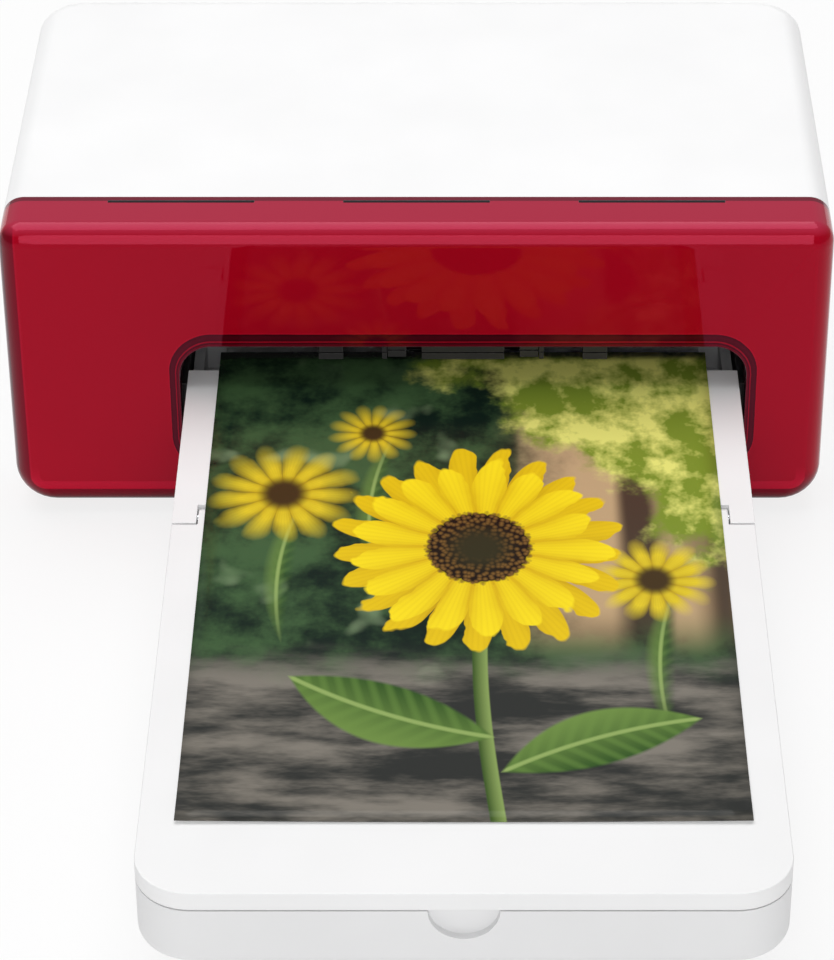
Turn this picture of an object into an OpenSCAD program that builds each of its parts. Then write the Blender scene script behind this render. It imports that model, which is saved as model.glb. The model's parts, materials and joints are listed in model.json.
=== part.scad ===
// Compact photo printer with a paper tray, a hinged tray lid and a ribbon cartridge.
// Every shape is drawn from two datums: y = 0 at the front face of the body and
// z = 0 at the top face of the tray lid. +Z is up and the tray points to -Y.

/* [Body] */
// Width of the body
body_w = 169.5; // [160:0.5:200]
// Depth of the body, front face to back face
body_d = 103.2; // [99:0.1:130]
// Height of the body top above the tray lid
body_top = 38; // [38:0.5:60]
// Depth of the body bottom below the tray lid
body_below = 29.6; // [29:0.1:40]
// Wall of the white shell
shell_wall = 2; // [1.5:0.1:2.4]
// Edge radius of the upper long edges
top_edge_r = 4.6; // [3:0.1:8]
// Edge radius of the lower long edges
low_edge_r = 8.5; // [5:0.1:9]
// Plan radius of the two rear corners
rear_corner_r = 10.4; // [8:0.1:14]

/* [Front shell] */
// Depth of the red shell, front face to seam
fascia_d = 13.6; // [12.5:0.1:16]
// Wall of the red shell
fascia_wall = 2; // [1.5:0.1:2.4]
// Radius between its front face and its sides
front_edge_r = 4.3; // [3:0.1:4.5]
// Room in the slot beside the tray
slot_side = 1.3; // [0.5:0.1:3]
// Centre of the slot and the tray, to the right of the body centre
slot_x = 9.5; // [0:0.5:10]
// Height of the slot above the tray lid
slot_above = 10.3; // [8:0.1:11]
// Depth of the slot below the tray lid
slot_below = 18.8; // [18.3:0.1:20]
// Corner radius of the slot
slot_r = 7; // [4:0.5:10]
// Thickness of the rim behind the slot
slot_rim = 2.6; // [1.5:0.1:2.8]
// Depth of that rim from the front face
slot_rim_d = 8.6; // [6:0.1:8.8]
// Length of one vent slit
vent_l = 29.8; // [20:0.2:36]
// Distance between the middles of two vent slits
vent_step = 48; // [40:0.5:50]
// Width of one vent slit
vent_w = 0.9; // [0.6:0.1:1.2]

/* [Tray] */
// Width of the tray
tray_w = 114.4; // [112:0.2:122]
// How far the tray stands out of the front face
tray_out = 157.4; // [150:0.2:175]
// How far the tray reaches into the body
tray_in = 33; // [32:0.2:34]
// Depth of the tray bottom below the lid top
tray_below = 16.5; // [15.5:0.1:17.5]
// Plan radius of the front corners
tray_corner_r = 10.2; // [6:0.1:12]
// Edge radius under the tray
tray_edge_r = 2.4; // [1.5:0.1:3]
// Wall of the tray
tray_wall = 2.2; // [1.6:0.1:2.4]
// Floor of the tray
tray_floor = 1.8; // [1.4:0.1:2]
// Thickness of the lid and of the deck
lid_t = 3.8; // [3.4:0.1:4]
// Skin of the lid
lid_skin = 1.5; // [1.2:0.1:2]
// Distance of the lid hinge in front of the front face
hinge_out = 43.9; // [40:0.1:50]
// Radius of the lid hinge pins
pin_r = 1; // [0.8:0.05:1.2]
// Radius of the thumb notch
notch_r = 6.25; // [5:0.25:8]

/* [Paper] */
// Width of a sheet
sheet_w = 101.6; // [96:0.1:104]
// Length of a sheet
sheet_l = 152.4; // [148:0.1:153]
// Thickness of the printed sheet
sheet_t = 0.25; // [0.2:0.01:0.3]
// Height of the stack of blank sheets
stack_t = 4.5; // [2:0.1:4.6]
// How far the print still reaches behind the front face
print_in = 13.6; // [13:0.1:15.5]

/* [Rollers and gears] */
// Radius of the platen roller
platen_r = 6; // [5.6:0.1:6.2]
// Radius of the pinch roller
pinch_r = 2.5; // [2:0.1:2.8]
// Radius of the pick-up tyres
pickup_r = 4.5; // [4.2:0.1:4.6]
// Radius of the roller shafts
shaft_r = 2; // [1.6:0.1:2]
// Size of the gear teeth, pitch diameter per tooth
gear_module = 0.8; // [0.8:0.01:0.81]
// Thickness of a gear
gear_t = 4; // [3:0.5:5]

/* [Ribbon] */
// Outer radius of the ribbon case tubes
ribbon_r = 12; // [10.5:0.1:12.3]
// Radius of the full supply roll
supply_r = 9; // [6:0.5:9.5]
// Radius of the take-up roll
takeup_r = 6; // [5:0.5:9.5]

/* [Feet] */
// Height of the rubber feet under the body
foot_h = 1.9; // [1.5:0.1:4]
// Radius of a foot
foot_r = 6; // [4:0.5:7]

/* [Hidden] */
$fn = 64;
eps = 0.01;            // overshoot of cutting solids
run = 0.05;            // radial clearance of a running fit
seat = 0.02;           // radial clearance of a pressed seat
gap = 0.3;             // clearance between separate mouldings
round_fn = 32;         // facets of the blended corners

half_w = body_w / 2;
slot_w = tray_w + 2 * slot_side;
back_y = body_d;
floor_z = -body_below + shell_wall;       // inner floor of the body
tray_front = -tray_out;
origin_y = (tray_out - body_d) / 2;       // shift that centres the depth
origin_z = body_below + foot_h;           // shift that stands the feet on z = 0

vent_y = fascia_d - 1.85;                 // line of the vent slits
side_vent_top = 24.4;                     // middle of the highest side slit
side_vent_step = 15.8;
side_vent_l = 12.5;

// Underside
base_gap = 2;                             // height of the dimples under the chassis base
cover_x = half_w - 26.75;                 // half width of the bottom cover
cover_y0 = fascia_d + 12.4;
cover_y1 = back_y - 19.5;
screw_in = 5;                             // screws in from the edges of the cover
tab_half = screw_in + 3;
tab_t = base_gap - 0.3;
dimple_r = 2;

// Chassis
steel_t = 1.2;                            // sheet of the chassis
base_z = floor_z + base_gap;              // underside of the chassis base
deck_z = base_z + steel_t;                // top of the chassis base
tray_side = 3.9;                          // least room between the tray and a side frame
case_half = sheet_w / 2 + 5.4;            // half length of the ribbon case inside its end plates
case_side = 4.9;                          // least room between those end plates and a side frame
frame_half = max(tray_w / 2 + tray_side, case_half + case_side);
frame_l = slot_x - frame_half;            // inner face of the left side frame
frame_r = slot_x + frame_half;            // inner face of the right side frame
frame_top = 33;
frame_y0 = 9.4;
fan_y1 = back_y - shell_wall - gap;       // back of the fan
fan_y0 = fan_y1 - 8.2;                    // front of the fan
frame_y1 = fan_y0 - 1;
gear_x = frame_l - steel_t - 2;           // near face of the gear plane
gear_x0 = gear_x - gear_t;                // far face of the gear plane
bush_r = 4;
stud_r = 1.5;                             // studs of the loose gears, and the small journals
motor_r = 8.5;
shaft_end = frame_r + steel_t + 1;        // right end of the roller shafts

platen_teeth = 14;
feed_teeth = 12;
idler_teeth = 18;
pinion_teeth = 12;
transfer_teeth = 12;
pickup_teeth = 15;
takeup_teeth = 24;
backlash = 0.08;                          // added to each centre distance

// Roller axes, as [y, z]
path_z = 8;                               // paper path over the platen
feed_r = platen_r * feed_teeth / platen_teeth;
platen_at = [55, path_z - platen_r];
feed_at = [42.4, path_z - feed_r];
pinch_at = [feed_at[0], path_z + 2 * sheet_t + pinch_r];
pickup_at = [26, -1.6];
takeup_at = [33.5, 23.3];
supply_at = [back_y - shell_wall - 4 - ribbon_r, takeup_at[1]];
head_pin_at = platen_at + [4.5, 5];
head_lift = 2.5;                          // travel of the print head
roller_half = sheet_w / 2 + 0.7;          // half length of the rollers
ramp_end = feed_at[0] - 4.8;              // rear edge of the exit ramp
guide_y = 10.2;                           // front of the hold-down bar
guide_z = 12.5;
guide_top = 17;
tie_y = platen_at[0] - 0.5;               // middle of the tie bar over the head
tie_half = 6.5;

// Print head
head_half = sheet_w / 2 + 1.2;            // half length of the head
head_h = 7.2;                             // height of the head over the paper path
sink_h = 7.8;                             // height of the heat sink
carrier_z = path_z + head_h + sink_h;
carrier_t = 1.6;

// Ribbon cartridge
case_l = slot_x - case_half;              // inner faces of the case end plates
case_r = slot_x + case_half;
end_t = 1.5;                              // end plates
film_half = sheet_w / 2 + 1.2;            // half width of the film
core_r = 4;                               // core of a spool
journal_r = 2.5;                          // end journal of a spool

// Distance between two meshed gears
function mesh_d(a, b) = gear_module * (a + b) / 2 + backlash;
// Direction from one axis to another, in degrees
function dir(a, b) = atan2(b[1] - a[1], b[0] - a[0]);
// Point at a distance and direction from an axis
function polar(a, d, t) = [a[0] + d * cos(t), a[1] + d * sin(t)];
// Angle of a tooth of gear b that meshes with gear a, seen along the axis
function mesh_phase(phase_a, teeth_a, t, teeth_b) =
    t + 180 - (0.5 - (t - phase_a) * teeth_a / 360) * 360 / teeth_b;

// Angle at corner a of the triangle with sides from a, from b and between them
function bend(from_a, from_b, between) =
    acos((from_a * from_a + between * between - from_b * from_b) / (2 * from_a * between));

// The idler meshes with both the platen gear and the feed gear, below them
idler_a = mesh_d(platen_teeth, idler_teeth);
idler_bend = bend(idler_a, mesh_d(feed_teeth, idler_teeth), norm(platen_at - feed_at));
idler_at = polar(platen_at, idler_a, dir(platen_at, feed_at) + idler_bend);
motor_dir = -34;
motor_at = polar(idler_at, mesh_d(idler_teeth, pinion_teeth), motor_dir);
// The transfer gear joins the feed gear and the pick-up gear, above the line between them
transfer_a = mesh_d(feed_teeth, transfer_teeth);
transfer_bend = bend(transfer_a, mesh_d(transfer_teeth, pickup_teeth), norm(pickup_at - feed_at));
transfer_at = polar(feed_at, transfer_a, dir(feed_at, pickup_at) - transfer_bend);
ribbon_motor_at = polar(takeup_at, mesh_d(takeup_teeth, pinion_teeth), 0);

platen_phase = 0;
idler_phase = mesh_phase(platen_phase, platen_teeth, dir(platen_at, idler_at), idler_teeth);
feed_phase = mesh_phase(idler_phase, idler_teeth, dir(idler_at, feed_at), feed_teeth);
motor_phase = mesh_phase(idler_phase, idler_teeth, motor_dir, pinion_teeth);
transfer_phase = mesh_phase(feed_phase, feed_teeth, dir(feed_at, transfer_at), transfer_teeth);
pickup_phase = mesh_phase(transfer_phase, transfer_teeth, dir(transfer_at, pickup_at), pickup_teeth);
ribbon_phase = mesh_phase(0, takeup_teeth, 0, pinion_teeth);

// Tray
tray_l = slot_x - tray_w / 2;
tray_r = slot_x + tray_w / 2;
arm_w = 4.8;                              // width of the deck arms beside the lid
arm_front = hinge_out + 3.9;              // front of the arms
hinge_z = -lid_t / 2;
hinge_gap = lid_t / 2 + 0.35;             // hinge axis to the deck
tongue_side = 0.3;                        // gap between the lid tongue and the arms
base_top = -lid_t - 0.2;                  // rim of the tray base
deck_back = 7.1;
tray_low = -tray_below;
tray_deck_z = tray_low + tray_floor;
pad_h = 1.1;                              // pad that carries the front of the stack
stack_z = tray_deck_z + pad_h + 0.1;
stack_back = tray_in - tray_wall - 0.8;
plate_t = 1;                              // lift plate
plate_hinge_y = -30;
plate_pin_r = 0.6;
guide_t = 1.2;                            // ribs beside the stack
rear_wall_top = -7.5;

// Electronics
board_x0 = -22;
board_x1 = 64;
board_y1 = back_y - 4.5;
board_y0 = board_y1 - 26;
board_z = deck_z + 2.9;                   // underside of the main board
board_t = 1.6;
board_top = board_z + board_t;
port_z = board_top + 5.9;                 // centre of the jack and the button
jack_x = 40;
usb_x = 22;
button_x = -4;
lens_x = -15;
button_r = 4;
button_travel = 1.2;
fan_size = 22;
fan_at = [-half_w + rear_corner_r + fan_size / 2 - 1, 5]; // x, z of the fan

// Right-hand door
door_y0 = fascia_d + 10.4;
door_y1 = back_y - 10.5;
door_top = 34;
door_hinge_z = 6.5;
barrel_r = 2.2;
door_pin_r = 1;

// ---------- shared shapes ----------

// Moves a drawing from the two datums to the finished place
module placed() {
    translate([0, origin_y, origin_z])
        children();
}

// Cuboid between two corners
module block(a, b) {
    translate(a)
        cube(b - a);
}

// Cylinder along X between x0 and x1, round the axis [y, z]
module rod_x(at, r, x0, x1) {
    translate([x0, at[0], at[1]])
        rotate([0, 90, 0])
            cylinder(r = r, h = x1 - x0);
}

// Cylinder along Y between y0 and y1, round the axis [x, z]
module rod_y(at, r, y0, y1) {
    translate([at[0], y1, at[1]])
        rotate([90, 0, 0])
            cylinder(r = r, h = y1 - y0);
}

// Cylinder along Z between z0 and z1
module rod_z(at, r, z0, z1) {
    translate([at[0], at[1], z0])
        cylinder(r = r, h = z1 - z0);
}

// Flat outline [y, z] drawn out along X
module along_x(x0, x1) {
    translate([x0, 0, 0])
        rotate([90, 0, 90])
            linear_extrude(x1 - x0)
                children();
}

// Flat outline [x, z] drawn out along Y
module along_y(y0, y1) {
    translate([0, y1, 0])
        rotate([90, 0, 0])
            linear_extrude(y1 - y0)
                children();
}

// Rectangle with its own radius at the two upper and the two lower corners
module soft_rect(x0, x1, z0, z1, r_up, r_low) {
    translate([x0 + r_low, z0])
        square([x1 - x0 - 2 * r_low, z1 - z0 - r_up]);
    translate([x0 + r_up, z0 + r_low])
        square([x1 - x0 - 2 * r_up, z1 - z0 - r_low]);
    translate([x0, z0 + r_low])
        square([x1 - x0, z1 - z0 - r_low - r_up]);
    for (x = [x0 + r_low, x1 - r_low])
        translate([x, z0 + r_low])
            circle(r_low);
    for (x = [x0 + r_up, x1 - r_up])
        translate([x, z1 - r_up])
            circle(r_up);
}

// Points of a quarter circle from angle a to a + 90
function quarter(at, r, a) =
    [for (i = [0:round_fn / 4]) at + r * [cos(a + i * 360 / round_fn), sin(a + i * 360 / round_fn)]];

// Half profile of a corner that is turned round z, rounded at its top end only
module corner_profile(r, edge, h) {
    polygon(concat([[0, 0], [r, 0]], quarter([r - edge, h - edge], edge, 0), [[0, h]]));
}

// Half profile of a corner post, rounded at both ends
module post_profile(r, edge, z0, z1) {
    polygon(concat([[0, z0]], quarter([r - edge, z0 + edge], edge, -90), quarter([r - edge, z1 - edge], edge, 0),
        [[0, z1]]));
}

// Gear round the axis [y, z], with its teeth drawn out along X from x0
module gear(at, teeth, phase, x0, bore) {
    pitch_r = gear_module * teeth / 2;
    root_r = pitch_r - 1.15 * gear_module;
    tip_r = pitch_r + 0.9 * gear_module;
    root_half = 0.27 * 360 / teeth;
    tip_half = 0.09 * 360 / teeth;
    along_x(x0, x0 + gear_t)
        translate(at)
            difference() {
                union() {
                    circle(root_r + 0.02);
                    for (i = [0:teeth - 1])
                        rotate(phase + i * 360 / teeth)
                            polygon([
                                [0, 0],
                                root_r * [cos(root_half), -sin(root_half)],
                                tip_r * [cos(tip_half), -sin(tip_half)],
                                tip_r * [cos(tip_half), sin(tip_half)],
                                root_r * [cos(root_half), sin(root_half)]]);
                }
                circle(bore);
            }
}

// ---------- casing ----------

// Outside of the body section, shrunk by a wall
module body_section(wall) {
    soft_rect(-half_w + wall, half_w - wall, -body_below + wall, body_top - wall,
        top_edge_r - wall, low_edge_r - wall);
}

// Solid of the white shell, shrunk by a wall
module shell_solid(wall, front) {
    hull() {
        along_y(front, front + 1)
            body_section(wall);
        for (x = [-1, 1])
            translate([x * (half_w - rear_corner_r), back_y - rear_corner_r, 0])
                rotate_extrude($fn = round_fn)
                    post_profile(rear_corner_r - wall, top_edge_r - wall, -body_below + wall, body_top - wall);
    }
}

module each_screw() {
    for (x = [-cover_x + screw_in, cover_x - screw_in])
        for (y = [cover_y0 + screw_in, cover_y1 - screw_in])
            translate([x, y, 0])
                children();
}

module each_foot() {
    for (x = [-1, 1])
        for (y = [fascia_d + foot_r + 2.5, back_y - rear_corner_r - foot_r])
            translate([x * (cover_x + foot_r + 3), y, 0])
                children();
}

module body_shell() {
    color("white")
        placed()
            difference() {
                union() {
                    difference() {
                        shell_solid(0, fascia_d);
                        shell_solid(shell_wall, fascia_d - eps);
                        block([-cover_x, cover_y0, -body_below - 1], [cover_x, cover_y1, floor_z + 1]);
                    }
                    // tabs over the corners of the bottom opening
                    each_screw()
                        block([-tab_half, -tab_half, floor_z - eps], [tab_half, tab_half, floor_z + tab_t]);
                    // ears that carry the pin of the side door
                    for (y = [[door_y0 - 4, door_y0], [door_y1, door_y1 + 4]])
                        block([half_w - 2 * barrel_r, y[0], door_hinge_z - barrel_r],
                            [half_w - shell_wall + eps, y[1], door_hinge_z + barrel_r]);
                }
                each_screw()
                    rod_z([0, 0], 1.2, floor_z - 1, floor_z + 3);
                // side door opening
                block([half_w - 2 * barrel_r - 1, door_y0, door_hinge_z - barrel_r - gap],
                    [half_w + 1, door_y1, door_top]);
                rod_y([half_w - barrel_r, door_hinge_z], door_pin_r + seat, door_y0 - 3, door_y1 + 3);
                // rear ports
                rod_y([jack_x, port_z], 3.6, back_y - 4, back_y + 1);
                block([usb_x - 4.2, back_y - 4, board_top - gap], [usb_x + 4.2, back_y + 1, board_top + 4 + gap]);
                rod_y([button_x, port_z], button_r + gap, back_y - 4, back_y + 1);
                rod_y([lens_x, port_z], 1.5 + run, back_y - 4, back_y + 1);
                // fan grille
                for (i = [-3:3])
                    block([fan_at[0] + i * 3 - 0.8, back_y - 4, fan_at[1] - 9],
                        [fan_at[0] + i * 3 + 0.8, back_y + 1, fan_at[1] + 9]);
            }
}

// Solid of the red shell, shrunk by a wall
module fascia_solid(wall, back) {
    hull() {
        along_y(back - 1, back)
            body_section(wall);
        for (x = [-1, 1]) {
            translate([x * (half_w - top_edge_r), back - 0.5, body_top - top_edge_r])
                rotate([90, 0, 0])
                    rotate_extrude($fn = round_fn)
                        corner_profile(top_edge_r - wall, front_edge_r - wall, back - 0.5 - wall);
            translate([x * (half_w - low_edge_r), back - 0.5, -body_below + low_edge_r])
                rotate([90, 0, 0])
                    rotate_extrude($fn = round_fn)
                        corner_profile(low_edge_r - wall, front_edge_r - wall, back - 0.5 - wall);
        }
    }
}

// Outline of the slot, grown by a margin
module slot_outline(grow) {
    soft_rect(slot_x - slot_w / 2 - grow, slot_x + slot_w / 2 + grow,
        -slot_below - grow, slot_above + grow, slot_r + grow, 3 + grow);
}

module front_fascia() {
    color("crimson", 0.8)
        placed()
            difference() {
                union() {
                    difference() {
                        fascia_solid(0, fascia_d);
                        fascia_solid(fascia_wall, fascia_d + eps);
                    }
                    along_y(fascia_wall - eps, slot_rim_d)
                        slot_outline(slot_rim);
                }
                along_y(-1, slot_rim_d + 1)
                    slot_outline(0);
                // vent slits in the top
                for (x = [-vent_step, 0, vent_step])
                    block([x - vent_l / 2, vent_y - vent_w / 2, body_top - fascia_wall - 1],
                        [x + vent_l / 2, vent_y + vent_w / 2, body_top + 1]);
                // vent slits in the sides
                for (x = [-1, 1])
                    for (i = [0:2])
                        translate([x * half_w, vent_y, side_vent_top - i * side_vent_step])
                            cube([3 * fascia_wall, vent_w, side_vent_l], center = true);
            }
}

module front_backing() {
    rim = front_edge_r + 0.6;
    color("darkred")
        placed()
            difference() {
                along_y(fascia_wall + 0.4, fascia_wall + 1.6)
                    soft_rect(-half_w + rim, half_w - rim, -body_below + rim, body_top - rim,
                        1, max(low_edge_r - rim, 1));
                along_y(fascia_wall, fascia_wall + 3)
                    slot_outline(slot_rim + 0.2);
            }
}

module bottom_cover() {
    color("whitesmoke")
        placed()
            difference() {
                block([-cover_x + gap, cover_y0 + gap, -body_below],
                    [cover_x - gap, cover_y1 - gap, floor_z - run]);
                each_screw() {
                    rod_z([0, 0], 1.6, -body_below - 1, floor_z + 1);
                    rod_z([0, 0], 3, -body_below - 1, -body_below + 1);
                }
                // air slits
                for (i = [-4:4])
                    block([i * 8 - 1, cover_y0 + 16, -body_below - 1], [i * 8 + 1, cover_y1 - 16, floor_z + 1]);
            }
}

module base_screws() {
    color("silver")
        placed()
            each_screw() {
                rod_z([0, 0], 1.15, -body_below + 0.9, floor_z + tab_t - 0.2);
                difference() {
                    rod_z([0, 0], 2.6, -body_below + 0.2, -body_below + 0.98);
                    block([-2, -0.3, -body_below], [2, 0.3, -body_below + 0.5]);
                    block([-0.3, -2, -body_below], [0.3, 2, -body_below + 0.5]);
                }
            }
}

module rubber_feet() {
    color("dimgray")
        placed()
            each_foot()
                translate([0, 0, -body_below - foot_h])
                    rotate_extrude()
                        polygon([[0, 0], [foot_r - 0.8, 0], [foot_r, 0.8], [foot_r, foot_h], [0, foot_h]]);
}

module side_door() {
    color("white")
        placed()
            difference() {
                union() {
                    block([half_w - shell_wall, door_y0 + gap, door_hinge_z],
                        [half_w, door_y1 - gap, door_top - gap]);
                    rod_y([half_w - barrel_r, door_hinge_z], barrel_r, door_y0 + gap, door_y1 - gap);
                    // catch and inner ribs
                    for (y = [door_y0 + 14, (door_y0 + door_y1) / 2, door_y1 - 14])
                        block([half_w - shell_wall - 1.5, y - 0.6, door_hinge_z],
                            [half_w - shell_wall + eps, y + 0.6, door_top - 5]);
                }
                rod_y([half_w - barrel_r, door_hinge_z], door_pin_r + run, door_y0, door_y1);
                // finger dip
                translate([half_w + 7, (door_y0 + door_y1) / 2, door_top - 7])
                    sphere(r = 8);
            }
}

module door_pin() {
    color("silver")
        placed()
            rod_y([half_w - barrel_r, door_hinge_z], door_pin_r, door_y0 - 2.8, door_y1 + 2.3);
}

// ---------- chassis ----------

module chassis_base() {
    color("silver")
        placed()
            union() {
                difference() {
                    block([frame_l - steel_t, frame_y0, base_z], [frame_r + steel_t, frame_y1, deck_z]);
                    for (x = [-40, 0, 40])
                        rod_z([slot_x + x, (frame_y0 + frame_y1) / 2 + 10], 6, base_z - 1, deck_z + 1);
                }
                // dimples that stand on the floor of the casing, clear of the screw tabs
                for (x = [frame_l + 4, frame_r - 4])
                    for (y = [frame_y0 + 9, cover_y1 - screw_in + tab_half + gap + dimple_r])
                        rod_z([x, y], dimple_r, floor_z, base_z + eps);
            }
}

// Side plate with the holes that both sides share
module side_plate(x0, shaft_hole) {
    difference() {
        children();
        rod_x(platen_at, shaft_hole, x0 - 1, x0 + steel_t + 1);
        rod_x(feed_at, shaft_hole, x0 - 1, x0 + steel_t + 1);
        rod_x(pinch_at, stud_r + run, x0 - 1, x0 + steel_t + 1);
        rod_x(pickup_at, shaft_r + run, x0 - 1, x0 + steel_t + 1);
        // slot that the head carrier rises in
        along_x(x0 - 1, x0 + steel_t + 1)
            union() {
                translate(head_pin_at)
                    circle(stud_r + gap / 2);
                translate(head_pin_at + [0, head_lift])
                    circle(stud_r + gap / 2);
                translate(head_pin_at - [stud_r + gap / 2, 0])
                    square([2 * stud_r + gap, head_lift]);
            }
    }
}

module left_side_frame() {
    color("silver")
        placed()
            union() {
                difference() {
                    side_plate(frame_l - steel_t, bush_r + seat)
                        along_x(frame_l - steel_t, frame_l)
                            polygon([[frame_y0, deck_z], [frame_y1, deck_z], [frame_y1, frame_top - 6],
                                [frame_y1 - 6, frame_top], [28, frame_top], [frame_y0, 18]]);
                    rod_x(takeup_at, stud_r + run, frame_l - steel_t - 1, frame_l + 1);
                    rod_x(motor_at, 3.2, frame_l - steel_t - 1, frame_l + 1);
                    rod_x([frame_y1 - 13, 6], 5, frame_l - steel_t - 1, frame_l + 1);
                }
                // studs that the two loose gears turn on
                for (at = [idler_at, transfer_at])
                    rod_x(at, stud_r, gear_x0 - 0.6, frame_l - steel_t + eps);
            }
}

module right_side_frame() {
    color("silver")
        placed()
            side_plate(frame_r, bush_r + seat)
                along_x(frame_r, frame_r + steel_t)
                    polygon([[frame_y0, deck_z], [frame_y1, deck_z], [frame_y1, 10],
                        [platen_at[0] + 6.5, 10], [platen_at[0] + 6.5, frame_top],
                        [platen_at[0] - 7.5, frame_top], [pinch_at[0] + 4.1, pinch_at[1] + 3.5],
                        [pinch_at[0] - 1.9, pinch_at[1] + 2.2], [pinch_at[0] - 4.4, pinch_at[1] - 1],
                        [25, pinch_at[1] - 1], [25, 18], [frame_y0, 18]]);
}

module tie_bar() {
    color("silver")
        placed() {
            block([frame_l + eps, tie_y - tie_half, frame_top - steel_t],
                [frame_r - eps, tie_y + tie_half, frame_top]);
            for (x = [frame_l + 0.05, frame_r - steel_t - 0.05])
                block([x, tie_y - tie_half, frame_top - 5], [x + steel_t, tie_y + tie_half, frame_top - eps]);
        }
}

module tray_guide() {
    left = slot_x - tray_w / 2 - 0.6;
    right = slot_x + tray_w / 2 + 0.6;
    top_z = tray_low - 0.3;
    color("dimgray")
        placed()
            union() {
                block([left - 1.4, frame_y0 + 0.4, top_z - 1.5], [right + 1.4, 36, top_z]);
                for (x = [left - 1.4, right])
                    block([x, frame_y0 + 0.4, deck_z], [x + 1.4, 36, -5]);
                for (x = [slot_x - 30, slot_x, slot_x + 30])
                    block([x - 0.7, frame_y0 + 0.4, deck_z], [x + 0.7, 36, top_z - eps]);
                // stop behind the tray
                block([left, tray_in + 0.6, top_z - eps], [right, tray_in + 1.8, top_z + 6]);
            }
}

// ---------- paper path ----------

// Hold-down fingers to one side of the middle, as [middle, width, raised by]
fingers = [[13.78, 3.8, 0.6], [16.38, 0.95, 0.1], [27.56, 5.1, 0]];
mid_finger_w = 17.2;

// One hold-down finger with a grooved foot that stands a little forward
module finger(x, w, low) {
    groove = low + 1.45;
    along_x(slot_x + x - w / 2, slot_x + x + w / 2)
        translate([guide_y, 0])
            polygon([[0.4, guide_z + 0.1], [0.4, 5.5], [-0.3, 4.8], [-0.3, groove + 0.3], [0.5, groove + 0.3],
                [0.5, groove], [-0.3, groove], [-0.3, low], [3.2, low], [4.4, 5.5], [4.4, guide_z + 0.1]]);
}

module exit_guide() {
    low = sheet_t + 0.7;
    color([0.1, 0.1, 0.11])
        placed()
            union() {
                block([frame_l + 0.1, guide_y, guide_z], [frame_r - 0.1, guide_y + 7.8, guide_top]);
                for (side = [-1, 1])
                    for (f = fingers)
                        finger(side * f[0], f[1], low + f[2]);
                finger(0, mid_finger_w, low);
                // lip in front of the bar, just behind the slot rim
                block([frame_l + 0.1, guide_y - 0.7, guide_z - 1.6], [frame_r - 0.1, guide_y + eps, guide_top]);
            }
}

module exit_ramp() {
    color([0.16, 0.16, 0.17])
        placed()
            difference() {
                along_x(frame_l + 0.1, frame_r - 0.1)
                    polygon([[16.5, sheet_t + 0.6], [ramp_end, path_z - 0.9], [ramp_end, path_z - 2.1],
                        [16.5, sheet_t - 0.6]]);
                // window over the pick-up tyres
                block([slot_x - 18, 20, -6], [slot_x + 18, 31.5, 8]);
            }
}

module shaft_bushes() {
    color("ivory")
        placed()
            for (at = [platen_at, feed_at])
                for (side = [0, 1]) {
                    inner = side == 0 ? frame_l : frame_r - 1;
                    outer = side == 0 ? frame_l - steel_t - 0.4 : frame_r - 0.5;
                    difference() {
                        union() {
                            rod_x(at, bush_r, outer, outer + steel_t + 0.9);
                            rod_x(at, bush_r + 1, inner, inner + 1);
                        }
                        rod_x(at, shaft_r + run, outer - 1, outer + 4);
                    }
                }
}

module platen_shaft() {
    color("silver")
        placed()
            rod_x(platen_at, shaft_r, gear_x0, shaft_end);
}

module platen_rubber() {
    color("gray")
        placed()
            difference() {
                rod_x(platen_at, platen_r, slot_x - roller_half, slot_x + roller_half);
                rod_x(platen_at, shaft_r + seat, slot_x - roller_half - 1, slot_x + roller_half + 1);
            }
}

module platen_gear() {
    color("white")
        placed()
            gear(platen_at, platen_teeth, platen_phase, gear_x0, shaft_r + seat);
}

module feed_roller() {
    color("lightgray")
        placed()
            union() {
                rod_x(feed_at, shaft_r, gear_x0, shaft_end);
                rod_x(feed_at, feed_r, slot_x - roller_half, slot_x + roller_half);
            }
}

module feed_gear() {
    color("white")
        placed()
            gear(feed_at, feed_teeth, feed_phase, gear_x0, shaft_r + seat);
}

module pinch_roller() {
    color("dimgray")
        placed()
            union() {
                rod_x(pinch_at, stud_r, frame_l - steel_t - 1, shaft_end);
                rod_x(pinch_at, pinch_r, slot_x - roller_half + 1.5, slot_x + roller_half - 1.5);
            }
}

module pickup_shaft() {
    color("silver")
        placed()
            rod_x(pickup_at, shaft_r, gear_x0, shaft_end);
}

module pickup_tyres() {
    color("dimgray")
        placed()
            for (x = [slot_x - 11, slot_x + 11])
                difference() {
                    rod_x(pickup_at, pickup_r, x - 5, x + 5);
                    rod_x(pickup_at, shaft_r + seat, x - 6, x + 6);
                }
}

module pickup_gear() {
    color("white")
        placed()
            gear(pickup_at, pickup_teeth, pickup_phase, gear_x0, shaft_r + seat);
}

module transfer_gear() {
    color("ivory")
        placed()
            gear(transfer_at, transfer_teeth, transfer_phase, gear_x0, stud_r + run);
}

module idler_gear() {
    color("ivory")
        placed()
            gear(idler_at, idler_teeth, idler_phase, gear_x0, stud_r + run);
}

// ---------- print head ----------

module print_head() {
    color("sienna")
        placed()
            along_x(slot_x - head_half, slot_x + head_half)
                translate([platen_at[0], path_z])
                    union() {
                        polygon([[-1, 1.45], [1, 1.45], [3.5, 4.4], [3.5, head_h], [-3.5, head_h], [-3.5, 4.4]]);
                        translate([0, 1.45])
                            circle(1);
                    }
}

module head_heatsink() {
    color("silver")
        placed()
            difference() {
                block([slot_x - head_half, platen_at[0] - 5, path_z + head_h],
                    [slot_x + head_half, platen_at[0] + 5, carrier_z]);
                for (i = [-9:9])
                    block([slot_x + i * 5.2 - 1.3, platen_at[0] - 6, path_z + head_h + 2],
                        [slot_x + i * 5.2 + 1.3, platen_at[0] + 6, carrier_z + 1]);
            }
}

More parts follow.
